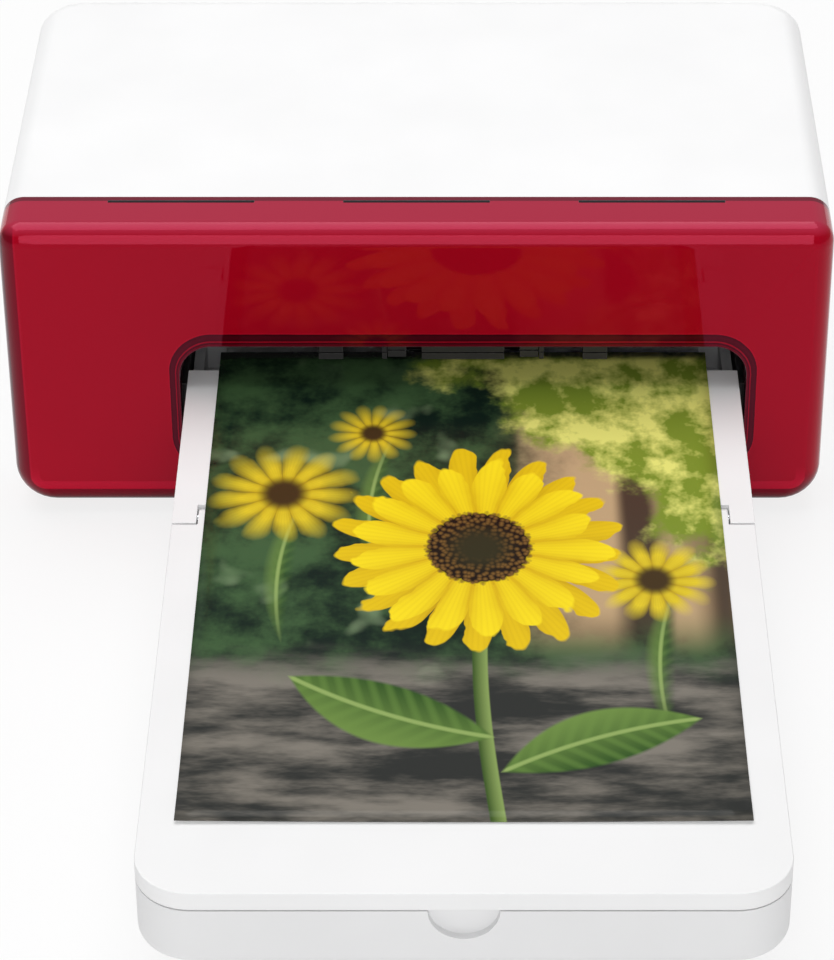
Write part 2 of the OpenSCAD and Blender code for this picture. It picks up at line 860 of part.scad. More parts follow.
module head_carrier() {
    color("gainsboro")
        placed()
            union() {
                block([slot_x - head_half - 3, platen_at[0] - 5, carrier_z],
                    [slot_x + head_half + 3, platen_at[0] + 5, carrier_z + carrier_t]);
                for (side = [-1, 1]) {
                    tab = slot_x + side * (head_half + 2.4);
                    block([tab - 0.6, platen_at[0], platen_at[1] + 3.2],
                        [tab + 0.6, platen_at[0] + 7, carrier_z + carrier_t]);
                    rod_x(head_pin_at, stud_r, side > 0 ? tab : frame_l - steel_t - 1,
                        side > 0 ? frame_r + steel_t + 1 : tab);
                }
            }
}

module head_springs() {
    color("silver")
        placed()
            for (x = [slot_x - 36, slot_x + 36])
                difference() {
                    rod_z([x, platen_at[0]], 2.6, carrier_z + carrier_t, frame_top - steel_t);
                    rod_z([x, platen_at[0]], 1.9, carrier_z, frame_top);
                }
}

// ---------- ribbon cartridge ----------

module ribbon_case() {
    color([0.35, 0.36, 0.38])
        placed()
            union() {
                for (at = [takeup_at, supply_at])
                    difference() {
                        rod_x(at, ribbon_r, case_l, case_r);
                        rod_x(at, ribbon_r - 1.2, case_l - 1, case_r + 1);
                        // mouth that the film leaves through
                        block([case_l - 1, at[0] + (at[0] < platen_at[0] ? 3 : -ribbon_r - 1), at[1] - ribbon_r - 1],
                            [case_r + 1, at[0] + (at[0] < platen_at[0] ? ribbon_r + 1 : -3), at[1] - 4]);
                    }
                // lugs that rest in the side frames
                for (x = [[frame_l + 0.1, case_l], [case_r, frame_r - 0.1]])
                    rod_x([platen_at[0], supply_at[1] + 1.5], 3, x[0], x[1]);
                for (x = [case_l - end_t, case_r])
                    difference() {
                        along_x(x, x + end_t)
                            union() {
                                for (at = [takeup_at, supply_at])
                                    translate(at)
                                        circle(ribbon_r);
                                translate([takeup_at[0], takeup_at[1] - 3])
                                    square([supply_at[0] - takeup_at[0], 9]);
                            }
                        for (at = [takeup_at, supply_at])
                            rod_x(at, journal_r + run, x - 1, x + end_t + 1);
                    }
            }
}

// Core of a spool with its end journals
module spool(at, left_end) {
    rod_x(at, journal_r, left_end, case_r + end_t + 0.6);
    rod_x(at, core_r, case_l + 0.4, case_r - 0.4);
}

module supply_spool() {
    color("lightgray")
        placed()
            spool(supply_at, case_l - end_t - 0.6);
}

module takeup_spool() {
    color("lightgray")
        placed()
            spool(takeup_at, case_l - end_t - 0.6);
}

// Film wound on a spool
module film_roll(at, r) {
    difference() {
        rod_x(at, r, slot_x - film_half, slot_x + film_half);
        rod_x(at, core_r + seat, slot_x - film_half - 1, slot_x + film_half + 1);
    }
}

module supply_roll() {
    color("goldenrod")
        placed()
            film_roll(supply_at, supply_r);
}

module takeup_roll() {
    color("darkmagenta")
        placed()
            film_roll(takeup_at, takeup_r);
}

module takeup_gear() {
    color("white")
        placed()
            union() {
                gear(takeup_at, takeup_teeth, 0, gear_x0, 0.5);
                rod_x(takeup_at, stud_r, gear_x0, case_l - end_t - 0.7);
            }
}

// Film between the two rolls, under the head
module ribbon_film() {
    film_t = 0.12;
    nip = [platen_at[0], path_z + 0.17];
    // tangent points under the two rolls
    from = [takeup_at[0] + takeup_r * sin(38) + 0.2, takeup_at[1] - takeup_r * cos(38) - 0.2];
    to = [supply_at[0] - supply_r * sin(25) - 0.2, supply_at[1] - supply_r * cos(25) - 0.2];
    color("darkslateblue")
        placed()
            along_x(slot_x - film_half, slot_x + film_half)
                polygon([from, nip, to, to - [0, film_t], nip - [0, film_t], from - [0, film_t]]);
}

// ---------- motors ----------

module feed_motor() {
    color("lightslategray")
        placed()
            union() {
                rod_x(motor_at, motor_r, frame_l + 1, frame_l + 19);
                along_x(frame_l + 0.05, frame_l + 1 + eps)
                    translate(motor_at)
                        union() {
                            circle(8);
                            translate([-13, -3])
                                square([26, 6]);
                        }
                rod_x(motor_at, 1, gear_x0, frame_l + 1);
            }
}

module motor_pinion() {
    color("goldenrod")
        placed()
            gear(motor_at, pinion_teeth, motor_phase, gear_x0, 1 + run);
}

module ribbon_motor() {
    flange_x = gear_x0 - 1.4;
    color("lightslategray")
        placed()
            union() {
                rod_x(ribbon_motor_at, 8, -half_w + shell_wall + 5.4, flange_x - 1);
                along_x(flange_x - 1 - eps, flange_x)
                    translate(ribbon_motor_at - [3, 10])
                        square([6, 20]);
                rod_x(ribbon_motor_at, 1, flange_x - eps, gear_x - 0.5);
                for (dz = [-8.6, 8.6])
                    rod_x(ribbon_motor_at + [0, dz], 1.4, flange_x - eps, frame_l - steel_t - 0.05);
            }
}

module ribbon_pinion() {
    color("goldenrod")
        placed()
            gear(ribbon_motor_at, pinion_teeth, ribbon_phase, gear_x0, 1 + run);
}

// ---------- electronics ----------

module main_board() {
    color("darkgreen")
        placed()
            union() {
                block([board_x0, board_y0, board_z], [board_x1, board_y1, board_top]);
                for (x = [board_x0 + 3, board_x1 - 3])
                    for (y = [board_y0 + 3, frame_y1 - 3])
                        rod_z([x, y], 1.8, deck_z, board_z + eps);
            }
}

module board_parts() {
    color([0.12, 0.12, 0.13])
        placed()
            union() {
                block([-14, board_y0 + 4, board_top], [-2, board_y0 + 14, board_top + 1.6]);
                block([6, board_y0 + 2.5, board_top], [14, board_y0 + 10, board_top + 1.4]);
                for (x = [50, 58])
                    rod_z([x, board_y0 + 7], 3, board_top, board_top + 9);
                for (i = [0:4])
                    block([18 + 5 * i, board_y0 + 3, board_top], [20.4 + 5 * i, board_y0 + 7, board_top + 1.2]);
            }
}

module power_jack() {
    color([0.1, 0.1, 0.1])
        placed()
            union() {
                difference() {
                    block([jack_x - 4.5, back_y - shell_wall - 13, board_top],
                        [jack_x + 4.5, back_y - shell_wall - 0.3, board_top + 11]);
                    rod_y([jack_x, port_z], 3.1, back_y - shell_wall - 10, back_y);
                }
                rod_y([jack_x, port_z], 0.85, back_y - shell_wall - 10.1, back_y - shell_wall - 1);
            }
}

module usb_socket() {
    color("silver")
        placed()
            union() {
                difference() {
                    block([usb_x - 3.9, back_y - 10, board_top], [usb_x + 3.9, back_y - 1.2, board_top + 4]);
                    block([usb_x - 3.4, back_y - 9, board_top + 0.5], [usb_x + 3.4, back_y, board_top + 3.5]);
                }
                block([usb_x - 2.4, back_y - 9.1, board_top + 1.6], [usb_x + 2.4, back_y - 3, board_top + 2.3]);
            }
}

module button_switch() {
    color([0.15, 0.15, 0.16])
        placed()
            block([button_x - 3, back_y - 11.5, board_top],
                [button_x + 3, back_y - 6.3, port_z + 2.5]);
}

module power_button() {
    color("lightgray")
        placed()
            union() {
                rod_y([button_x, port_z], button_r, back_y - 3.5, back_y - 0.2);
                rod_y([button_x, port_z], button_r + 1.2, back_y - shell_wall - 1.5, back_y - shell_wall - gap);
                rod_y([button_x, port_z], 1.4, back_y - 4.9, back_y - 3);
            }
}

module status_lens() {
    color("palegreen", 0.7)
        placed()
            union() {
                rod_y([lens_x, port_z], 1.5, back_y - 6, back_y - 0.15);
                rod_y([lens_x, port_z], 2.4, back_y - 6, back_y - shell_wall - 0.05);
                block([lens_x - 1.2, back_y - 8.5, board_top], [lens_x + 1.2, back_y - 6 + eps, port_z + 1.2]);
            }
}

module fan_frame() {
    color([0.1, 0.1, 0.11])
        placed()
            union() {
                difference() {
                    block([fan_at[0] - fan_size / 2, fan_y0, fan_at[1] - fan_size / 2],
                        [fan_at[0] + fan_size / 2, fan_y1, fan_at[1] + fan_size / 2]);
                    rod_y(fan_at, 10, fan_y0 - 1, fan_y1 + 1);
                }
                block([fan_at[0] - 10.2, fan_y0, fan_at[1] - 1], [fan_at[0] + 10.2, fan_y0 + 1, fan_at[1] + 1]);
                block([fan_at[0] - 1, fan_y0, fan_at[1] - 10.2], [fan_at[0] + 1, fan_y0 + 1, fan_at[1] + 10.2]);
                rod_y(fan_at, 3.8, fan_y0, fan_y0 + 1.2);
                rod_y(fan_at, 0.8, fan_y0, fan_y0 + 5);
            }
}

module fan_rotor() {
    color([0.2, 0.2, 0.22])
        placed()
            difference() {
                union() {
                    rod_y(fan_at, 4, fan_y0 + 1.7, fan_y0 + 6.8);
                    for (i = [0:6])
                        translate([fan_at[0], (fan_y0 + 1.9 + fan_y0 + 6.6) / 2, fan_at[1]])
                            rotate([0, i * 360 / 7, 0])
                                translate([6.3, 0, 0])
                                    rotate([35, 0, 0])
                                        cube([6, 0.8, 4], center = true);
                }
                rod_y(fan_at, 0.8 + run, fan_y0, fan_y0 + 5.3);
            }
}

// ---------- tray ----------

// Plan outline with rounded front corners
module tray_plan(inset, back) {
    r = tray_corner_r - inset;
    translate([tray_l + inset, tray_front + tray_corner_r])
        square([tray_w - 2 * inset, back - tray_front - tray_corner_r]);
    translate([tray_l + tray_corner_r, tray_front + inset])
        square([tray_w - 2 * tray_corner_r, tray_corner_r]);
    for (x = [tray_l + tray_corner_r, tray_r - tray_corner_r])
        translate([x, tray_front + tray_corner_r])
            circle(r);
}

// Outside of the lower tray, with its rounded bottom edge
module tray_outside() {
    hull() {
        for (x = [tray_l + tray_corner_r, tray_r - tray_corner_r])
            translate([x, tray_front + tray_corner_r, base_top])
                rotate([180, 0, 0])
                    rotate_extrude($fn = 2 * round_fn)
                        corner_profile(tray_corner_r, tray_edge_r, base_top - tray_low);
        for (x = [tray_l + tray_edge_r, tray_r - tray_edge_r])
            translate([x, tray_in - 1, tray_low + tray_edge_r])
                rotate([-90, 0, 0])
                    cylinder(r = tray_edge_r, h = 1, $fn = round_fn);
        block([tray_l, tray_in - 1, base_top - 1], [tray_r, tray_in, base_top]);
    }
}

module tray_base() {
    color("gainsboro")
        placed()
            difference() {
                union() {
                    difference() {
                        tray_outside();
                        translate([0, 0, tray_deck_z])
                            linear_extrude(tray_below)
                                tray_plan(tray_wall, tray_in - tray_wall);
                    }
                    // ribs beside the sheets
                    for (x = [slot_x - sheet_w / 2 - 0.5 - guide_t, slot_x + sheet_w / 2 + 0.5])
                        block([x, tray_front + 30, tray_deck_z - eps], [x + guide_t, deck_back, base_top - 0.8]);
                    // pad under the front of the stack
                    block([slot_x - 44, stack_back - sheet_l + 1, tray_deck_z - eps],
                        [slot_x + 44, plate_hinge_y - 4, tray_deck_z + pad_h]);
                    // rib in front of the sheets
                    block([slot_x - 30, stack_back - sheet_l - 2, tray_deck_z - eps],
                        [slot_x + 30, stack_back - sheet_l - 0.8, base_top - 1.5]);
                }
                // low rear end that passes under the pick-up tyres
                block([tray_l - 1, deck_back + 4, rear_wall_top], [tray_r + 1, tray_in + 1, base_top + 1]);
                // thumb notch
                rod_y([slot_x, base_top], notch_r, tray_front - 1, tray_front + 1.4);
                // bores of the lift plate
                rod_x([plate_hinge_y, stack_z - 0.7], plate_pin_r + run, slot_x - sheet_w / 2 - 3,
                    slot_x + sheet_w / 2 + 3);
            }
}

module tray_deck() {
    color("whitesmoke")
        placed()
            difference() {
                union() {
                    block([tray_l, -hinge_out + 3.9, -lid_t], [tray_r, deck_back, 0]);
                    block([tray_l + arm_w, -hinge_out + hinge_gap, -lid_t], [tray_r - arm_w, -hinge_out + 4, 0]);
                    for (x = [tray_l, tray_r - arm_w])
                        block([x, -arm_front, -lid_t], [x + arm_w, -hinge_out + 4, 0]);
                }
                // hollow underneath
                block([tray_l + arm_w + 1, -hinge_out + 6, -lid_t - 1], [tray_r - arm_w - 1, deck_back - 1.6, -1.6]);
                rod_x([-hinge_out, hinge_z], pin_r + seat, tray_l + 1, tray_l + arm_w + 1);
                rod_x([-hinge_out, hinge_z], pin_r + seat, tray_r - arm_w - 1, tray_r - 1);
            }
}

module tray_lid() {
    shoulder = -arm_front - 0.5;
    color("whitesmoke")
        placed()
            difference() {
                union() {
                    translate([0, 0, -lid_t])
                        linear_extrude(lid_t)
                            tray_plan(0, shoulder);
                    block([tray_l + arm_w + tongue_side, shoulder - eps, -lid_t],
                        [tray_r - arm_w - tongue_side, -hinge_out, 0]);
                    rod_x([-hinge_out, hinge_z], lid_t / 2, tray_l + arm_w + tongue_side,
                        tray_r - arm_w - tongue_side);
                }
                // hollow underneath
                translate([0, 0, -lid_t - 1])
                    linear_extrude(lid_t - lid_skin + 1)
                        tray_plan(tray_wall, shoulder - 2);
                for (x = [[tray_l + arm_w - 1, tray_l + arm_w + 5], [tray_r - arm_w - 5, tray_r - arm_w + 1]])
                    rod_x([-hinge_out, hinge_z], pin_r + run, x[0], x[1]);
            }
}

module lid_pins() {
    color("dimgray")
        placed() {
            rod_x([-hinge_out, hinge_z], pin_r, tray_l + 1.1, tray_l + arm_w + 4.6);
            rod_x([-hinge_out, hinge_z], pin_r, tray_r - arm_w - 4.6, tray_r - 1.1);
        }
}

module lift_plate() {
    low = stack_z - 0.1 - plate_t;
    color("silver")
        placed()
            union() {
                difference() {
                    block([slot_x - 46, plate_hinge_y, low], [slot_x + 46, stack_back + 0.2, low + plate_t]);
                    for (x = [slot_x - 24, slot_x + 24])
                        rod_z([x, 0], 9, low - 1, low + plate_t + 1);
                }
                rod_x([plate_hinge_y, stack_z - 0.7], plate_pin_r, slot_x - sheet_w / 2 - 1.5,
                    slot_x + sheet_w / 2 + 1.5);
            }
}

module paper_stack() {
    color("white")
        placed()
            block([slot_x - sheet_w / 2, stack_back - sheet_l, stack_z],
                [slot_x + sheet_w / 2, stack_back, stack_z + stack_t]);
}

module printed_sheet() {
    color("olivedrab")
        placed()
            block([slot_x - sheet_w / 2, print_in - sheet_l, 0.02],
                [slot_x + sheet_w / 2, print_in, 0.02 + sheet_t]);
}

body_shell();
front_fascia();
front_backing();
bottom_cover();
base_screws();
rubber_feet();
side_door();
door_pin();
chassis_base();
left_side_frame();
right_side_frame();
tie_bar();
tray_guide();
exit_guide();
exit_ramp();
shaft_bushes();
platen_shaft();
platen_rubber();
platen_gear();
feed_roller();
feed_gear();
pinch_roller();
pickup_shaft();
pickup_tyres();
pickup_gear();
transfer_gear();
idler_gear();
feed_motor();
motor_pinion();
print_head();
head_heatsink();
head_carrier();
head_springs();
ribbon_case();
supply_spool();
supply_roll();
takeup_spool();
takeup_roll();
takeup_gear();
ribbon_film();
ribbon_motor();
ribbon_pinion();
main_board();
board_parts();
power_jack();
usb_socket();
button_switch();
power_button();
status_lens();
fan_frame();
fan_rotor();
tray_base();
tray_deck();
tray_lid();
lid_pins();
lift_plate();
paper_stack();
printed_sheet();
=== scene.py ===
"""Looks of a compact photo printer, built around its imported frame. Lengths are in metres."""

import json
import math
import random

import bmesh
import bpy
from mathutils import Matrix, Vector


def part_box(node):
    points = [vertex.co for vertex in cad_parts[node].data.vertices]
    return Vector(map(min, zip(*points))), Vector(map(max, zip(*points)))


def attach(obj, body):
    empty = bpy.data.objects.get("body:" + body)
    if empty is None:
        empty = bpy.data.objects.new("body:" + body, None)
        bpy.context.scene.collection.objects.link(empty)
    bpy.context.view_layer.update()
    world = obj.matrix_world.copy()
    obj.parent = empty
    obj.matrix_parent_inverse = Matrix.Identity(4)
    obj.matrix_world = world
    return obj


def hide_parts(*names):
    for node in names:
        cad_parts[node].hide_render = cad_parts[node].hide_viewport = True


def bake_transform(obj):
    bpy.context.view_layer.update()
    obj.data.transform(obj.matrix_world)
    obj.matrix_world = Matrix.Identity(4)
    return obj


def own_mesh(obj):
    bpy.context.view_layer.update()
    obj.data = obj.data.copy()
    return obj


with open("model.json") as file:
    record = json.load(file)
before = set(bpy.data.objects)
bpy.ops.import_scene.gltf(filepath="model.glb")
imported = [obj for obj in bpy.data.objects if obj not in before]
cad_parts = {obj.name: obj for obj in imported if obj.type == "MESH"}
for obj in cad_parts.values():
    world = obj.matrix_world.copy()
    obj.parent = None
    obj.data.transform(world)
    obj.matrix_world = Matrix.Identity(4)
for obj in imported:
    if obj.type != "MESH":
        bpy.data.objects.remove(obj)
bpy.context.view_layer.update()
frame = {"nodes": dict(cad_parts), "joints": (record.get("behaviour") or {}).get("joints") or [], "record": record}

MM = 0.001
SCENE = bpy.context.scene

# ---------------------------------------------------------------- camera and light

PHOTO_SIZE = (834, 960)                     # pixels, width and height
FOCAL_PX = 3656.3                           # focal length in those pixels
OPTICAL_CENTRE_PX = (458.7, 408.0)          # where the camera's axis meets the photograph
CAMERA_AT = (8.6 * MM, -605.35 * MM, 446.7 * MM)
CAMERA_DOWN = 33.585                        # degrees below level
SENSOR = 36.0                               # mm along the longer side of the photograph

# ---------------------------------------------------------------- sizes and colours of the front shell

SLOT_SIDE = 1.3 * MM                        # room beside the tray
SLOT_ABOVE = 10.3 * MM                      # above the top of the lid
SLOT_BELOW = 18.8 * MM                      # and below it
SLOT_RADIUS = 7.0 * MM
VENT_AT = 1.85 * MM                         # line of the vent slits, in front of the seam
VENT_WIDTH = 0.9 * MM
RIM_RISE = 1.05 * MM                        # the lower edge curves under below this
LIP_SIDE = 2.25 * MM                        # width of the band of painted shade beside the slot
LIP_ABOVE = 3.2 * MM                        # and above it
LIP_SCALE = 0.8                             # place of the band's outer line in its painted tones
SHELL_CORNER = 6.5 * MM                     # corner radius of the shell, seen from the front
RIM_SPAN = 10.0                             # mm that the painted rim shade and bright line cover
RED = (0.43, 0.0008, 0.0125)
RED_DEEP = (0.41, 0.0006, 0.0115)
# the next four colours are painted light: near-black painted shade round the slot, a painted pale sheen on the
# top, painted shade at the seam and a painted highlight over the lower rim
BLACK_RED = (0.035, 0.001, 0.004)
PAINTED_TOP_SHEEN = (0.475, 0.028, 0.066)
PAINTED_SEAM_SHADE = (0.19, 0.020, 0.038)
PAINTED_LOWER_GLINT = (0.56, 0.004, 0.026)
PAINTED_RIM_SHADE_AND_GLINT = [                               # painted shade and a painted bright line, by mm in from the outline of the shell
    (0.0, (0.030, 0.001, 0.004)), (0.6, (0.045, 0.001, 0.005)), (1.0, (0.15, 0.001, 0.008)),
    (3.25, (0.19, 0.001, 0.009)), (3.4, (0.46, 0.002, 0.018)), (3.6, (0.47, 0.003, 0.020)),
    (3.75, RED)]
PAINTED_LIP_SHADE_AND_GLINTS = [                               # painted shade and painted bright lines, from the inner line of the band to its outer line
    (0.0, (0.20, 0.05, 0.07)), (0.03, (0.14, 0.02, 0.03)), (0.05, BLACK_RED),
    (0.09, (0.15, 0.001, 0.008)), (0.13, (0.14, 0.001, 0.008)), (0.17, BLACK_RED),
    (0.24, (0.06, 0.001, 0.006)), (0.27, (0.34, 0.002, 0.014)), (0.32, (0.30, 0.002, 0.012)),
    (0.35, (0.045, 0.001, 0.005)), (0.55, (0.070, 0.001, 0.006)), (0.73, BLACK_RED),
    (0.77, (0.45, 0.002, 0.016)), (0.80, (0.52, 0.003, 0.020)), (0.83, RED)]

# ---------------------------------------------------------------- sizes and levels of what is drawn here

PRINT_CELLS = (24, 48)                      # across and along the sheet
PRINT_LIFT = 0.6 * MM                       # rise of the near edge's corners
SHEETS = 16                                 # layers that show in the blank stack
SHEET_SHIFT = (0.25, 0.3)                   # mm that a layer may be out of line, in X and Y
STACK_BEND = 6 * MM                         # the same, from the lift plate's hinge
SPRING_TURNS = 6
SPRING_WIRE = 0.25 * MM                     # radius of the wire
SPRING_STEPS = 24                           # straight pieces in one turn
WELD = 0.002 * MM                           # CAD vertices closer than this become one
FLAT_ANGLE = 0.6                            # degrees between faces that become one
SHARP_ANGLE = 32                            # degrees between faces with an edge to round
EDGE_SEGMENTS = 2
FLOOR_HALF = 6.0                            # half of the floor's side
FLOOR_GLOW = 0.8                            # share of plain white in what the eye sees of the floor
WORLD_LIGHT = 0.33                          # strength of the light from all round


def add_camera():
    width, height = PHOTO_SIZE
    lens = bpy.data.cameras.new("photo_camera")
    lens.sensor_width = SENSOR
    lens.lens = FOCAL_PX / height * SENSOR
    lens.shift_x = (width / 2 - OPTICAL_CENTRE_PX[0]) / height
    lens.shift_y = (OPTICAL_CENTRE_PX[1] - height / 2) / height
    lens.clip_start = 0.05
    camera = bpy.data.objects.new("photo_camera", lens)
    camera.location = CAMERA_AT
    camera.rotation_euler = (math.radians(90 - CAMERA_DOWN), 0, 0)
    SCENE.collection.objects.link(camera)
    SCENE.camera = camera


def add_softbox(name, place, aim, size, watts):
    """A flat lamp, so wide and so high, that looks from one point at another."""
    lamp = bpy.data.lights.new(name, "AREA")
    lamp.shape = "RECTANGLE"
    lamp.size, lamp.size_y = size
    lamp.energy = watts
    box = bpy.data.objects.new(name, lamp)
    box.location = place
    box.rotation_euler = (Vector(aim) - Vector(place)).to_track_quat("-Z", "Y").to_euler()
    SCENE.collection.objects.link(box)


# ---------------------------------------------------------------- node helpers

def put(tree, kind, settings=None, **inputs):
    """Adds a shader node. An input is a value or another node's output, and _ in its name stands for
    a space."""
    node = tree.nodes.new(kind)
    for name, value in (settings or {}).items():
        setattr(node, name, value)
    for name, value in inputs.items():
        feed(tree, node.inputs[name.replace("_", " ")], value)
    return node


def feed(tree, socket, value):
    """Links an output, or sets a value. A colour is three numbers."""
    if isinstance(value, bpy.types.NodeSocket):
        tree.links.new(value, socket)
    elif value is not None:
        socket.default_value = (*value, 1.0) if socket.type == "RGBA" else value


def calc(tree, operation, first, second=None, third=None, clamp=False):
    """One Math node."""
    node = tree.nodes.new("ShaderNodeMath")
    node.operation = operation
    node.use_clamp = clamp
    for socket, value in zip(node.inputs, (first, second, third)):
        feed(tree, socket, value)
    return node.outputs[0]


def times(tree, first, *others):
    """The product of all of them."""
    for other in others:
        first = calc(tree, "MULTIPLY", first, other)
    return first


def squares(tree, across, along):
    """Square of the distance from two offsets."""
    return calc(tree, "MULTIPLY_ADD", across, across, calc(tree, "MULTIPLY", along, along))


def ramp(tree, value, low, high, to_low=0.0, to_high=1.0, smooth=False):
    """Maps low..high to to_low..to_high and stops at both ends."""
    node = tree.nodes.new("ShaderNodeMapRange")
    node.interpolation_type = "SMOOTHSTEP" if smooth else "LINEAR"
    for socket, number in zip(node.inputs, (value, low, high, to_low, to_high)):
        feed(tree, socket, number)
    return node.outputs[0]


def mix(tree, share, first, second):
    """Mixes two colours: all first at 0, all second at 1."""
    node = tree.nodes.new("ShaderNodeMix")
    node.data_type = "RGBA"
    feed(tree, node.inputs["Factor"], share)
    feed(tree, node.inputs[6], first)
    feed(tree, node.inputs[7], second)
    return node.outputs[2]


def stops(tree, value, colours, span=1.0):
    """A colour from a list of (place, colour) stops, with the places out of a span."""
    node = tree.nodes.new("ShaderNodeValToRGB")
    feed(tree, node.inputs[0], value)
    line = node.color_ramp.elements
    while len(line) < len(colours):
        line.new(1.0)
    for stop, (place, colour) in zip(line, colours):
        stop.position = place / span
        stop.color = (*colour, 1.0)
    return node.outputs[0]


def rounded_distance(tree, x, z, low, high, radius):
    """Distance to the outline of a rounded rectangle in the XZ plane, in mm: below 0 inside it."""
    def beyond(value, near, far):
        off = calc(tree, "ABSOLUTE", calc(tree, "SUBTRACT", value, (near + far) / 2))
        return calc(tree, "SUBTRACT", off, (far - near) / 2 - radius)

    across, up = beyond(x, low[0], high[0]), beyond(z, low[1], high[1])
    corner = [calc(tree, "POWER", calc(tree, "MAXIMUM", side, 0.0), 2.0) for side in (across, up)]
    outside = calc(tree, "SQRT", calc(tree, "ADD", *corner))
    inside = calc(tree, "MINIMUM", calc(tree, "MAXIMUM", across, up), 0.0)
    metres = calc(tree, "SUBTRACT", calc(tree, "ADD", outside, inside), radius)
    return calc(tree, "MULTIPLY", metres, 1 / MM)


def noise(tree, place, scale, detail=2.0, rough=0.5, dimensions="3D"):
    node = put(tree, "ShaderNodeTexNoise", {"noise_dimensions": dimensions}, Vector=place, Scale=scale,
               Detail=detail, Roughness=rough)
    return node.outputs[0]


def stretch(tree, place, scale, move=(0, 0, 0)):
    """Scales a place along each axis."""
    return put(tree, "ShaderNodeMapping", None, Vector=place, Scale=scale, Location=move).outputs[0]


def object_place(tree):
    return put(tree, "ShaderNodeTexCoord").outputs["Object"]


def new_group(name, inputs, outputs):
    """An empty node group with named sockets: inputs {name: (type, default)}, outputs {name: type}."""
    group = bpy.data.node_groups.new(name, "ShaderNodeTree")
    for label, (kind, default) in inputs.items():
        socket = group.interface.new_socket(label, in_out="INPUT", socket_type="NodeSocket" + kind)
        socket.default_value = default
    for label, kind in outputs.items():
        group.interface.new_socket(label, in_out="OUTPUT", socket_type="NodeSocket" + kind)
    return group, group.nodes.new("NodeGroupInput"), group.nodes.new("NodeGroupOutput")


def place_group(tree, group, **inputs):
    node = tree.nodes.new("ShaderNodeGroup")
    node.node_tree = group
    for name, value in inputs.items():
        feed(tree, node.inputs[name.replace("_", " ")], value)
    return node


# ---------------------------------------------------------------- shared effects

def make_moulded_grain():
    """Fine spark-eroded grain of moulded plastic, with faint cloudy patches."""
    group, given, out = new_group(
        "Moulded grain",
        {"Grain size": ("Float", 0.5 * MM), "Patch size": ("Float", 20 * MM)},
        {"Height": "Float", "Patches": "Float"})
    place = object_place(group)
    grains = calc(group, "DIVIDE", 1.0, given.outputs["Grain size"])
    patches = calc(group, "DIVIDE", 1.0, given.outputs["Patch size"])
    group.links.new(noise(group, place, grains, 3.0, 0.6), out.inputs["Height"])
    group.links.new(noise(group, place, patches, 2.0), out.inputs["Patches"])
    return group


def make_brushed_streaks():
    """Fine streaks along one axis, as on rolled sheet or a ground shaft."""
    group, given, out = new_group(
        "Brushed streaks",
        {"Streak width": ("Float", 0.15 * MM), "Along": ("Vector", (0.02, 1.0, 1.0))},
        {"Height": "Float", "Streaks": "Float"})
    drawn = put(group, "ShaderNodeVectorMath", {"operation": "MULTIPLY"})
    group.links.new(object_place(group), drawn.inputs[0])
    group.links.new(given.outputs["Along"], drawn.inputs[1])
    streaks = calc(group, "DIVIDE", 1.0, given.outputs["Streak width"])
    lines = noise(group, drawn.outputs[0], streaks, 3.0, 0.55)
    group.links.new(lines, out.inputs["Height"])
    group.links.new(ramp(group, lines, 0.3, 0.7), out.inputs["Streaks"])
    return group


def make_edge_wear():
    """Mask of the rubbed edges: 1 on sharp outer edges, broken up by noise."""
    group, given, out = new_group(
        "Edge wear",
        {"Width": ("Float", 0.3 * MM), "Amount": ("Float", 0.5)},
        {"Mask": "Float"})
    rounded = group.nodes.new("ShaderNodeBevel")
    rounded.samples = 4
    group.links.new(given.outputs["Width"], rounded.inputs["Radius"])
    facing = group.nodes.new("ShaderNodeNewGeometry").outputs["Normal"]
    same = put(group, "ShaderNodeVectorMath", {"operation": "DOT_PRODUCT"})
    group.links.new(rounded.outputs[0], same.inputs[0])
    group.links.new(facing, same.inputs[1])
    edge = ramp(group, same.outputs["Value"], 0.98, 0.8)
    patchy = ramp(group, noise(group, object_place(group), 900.0, 3.0, 0.6), 0.35, 0.6)
    worn = calc(group, "MULTIPLY", edge, patchy)
    worn = calc(group, "MULTIPLY", worn, given.outputs["Amount"], clamp=True)
    group.links.new(worn, out.inputs["Mask"])
    return group


GRAIN = make_moulded_grain()
STREAKS = make_brushed_streaks()
WEAR = make_edge_wear()


# ---------------------------------------------------------------- materials

def new_material(name, **plain):
    """A material and its nodes. Plain values are set on the Principled shader's own sockets."""
    material = bpy.data.materials.new(name)
    material.use_nodes = True
    tree = material.node_tree
    shader = tree.nodes["Principled BSDF"]
    for label, value in plain.items():
        shader.inputs[label.replace("_", " ")].default_value = value
    return material, tree


def dress(material, colour, roughness, height=None, depth=0.0):
    """Links a material's colour and roughness and, where it has one, its bump of the given depth."""
    tree = material.node_tree
    shader = tree.nodes["Principled BSDF"]
    tree.links.new(colour, shader.inputs["Base Color"])
    tree.links.new(roughness, shader.inputs["Roughness"])
    if height is not None:
        bump = put(tree, "ShaderNodeBump", None, Height=height, Distance=depth, Strength=1.0)
        tree.links.new(bump.outputs[0], shader.inputs["Normal"])
    return material


def paler(colour, share):
    return tuple(c + (1 - c) * share for c in colour)


def darker(colour, share):
    return tuple(c * (1 - share) for c in colour)


def moulded_plastic(name, colour, roughness, grain=0.5 * MM, depth=0.004 * MM, wear=0.0, **plain):
    """Opaque moulded plastic with grain, cloudy roughness and, where handled, rubbed edges."""
    material, tree = new_material(name, **plain)
    effect = place_group(tree, GRAIN, Grain_size=grain)
    patches = effect.outputs["Patches"]
    tone = mix(tree, ramp(tree, patches, 0.3, 0.7), darker(colour, 0.02), colour)
    if wear:
        rubbed = place_group(tree, WEAR, Amount=wear).outputs["Mask"]
        tone = mix(tree, rubbed, tone, paler(colour, 0.25))
    rough = ramp(tree, patches, 0.2, 0.8, roughness - 0.04, roughness + 0.05)
    return dress(material, tone, rough, effect.outputs["Height"], depth)


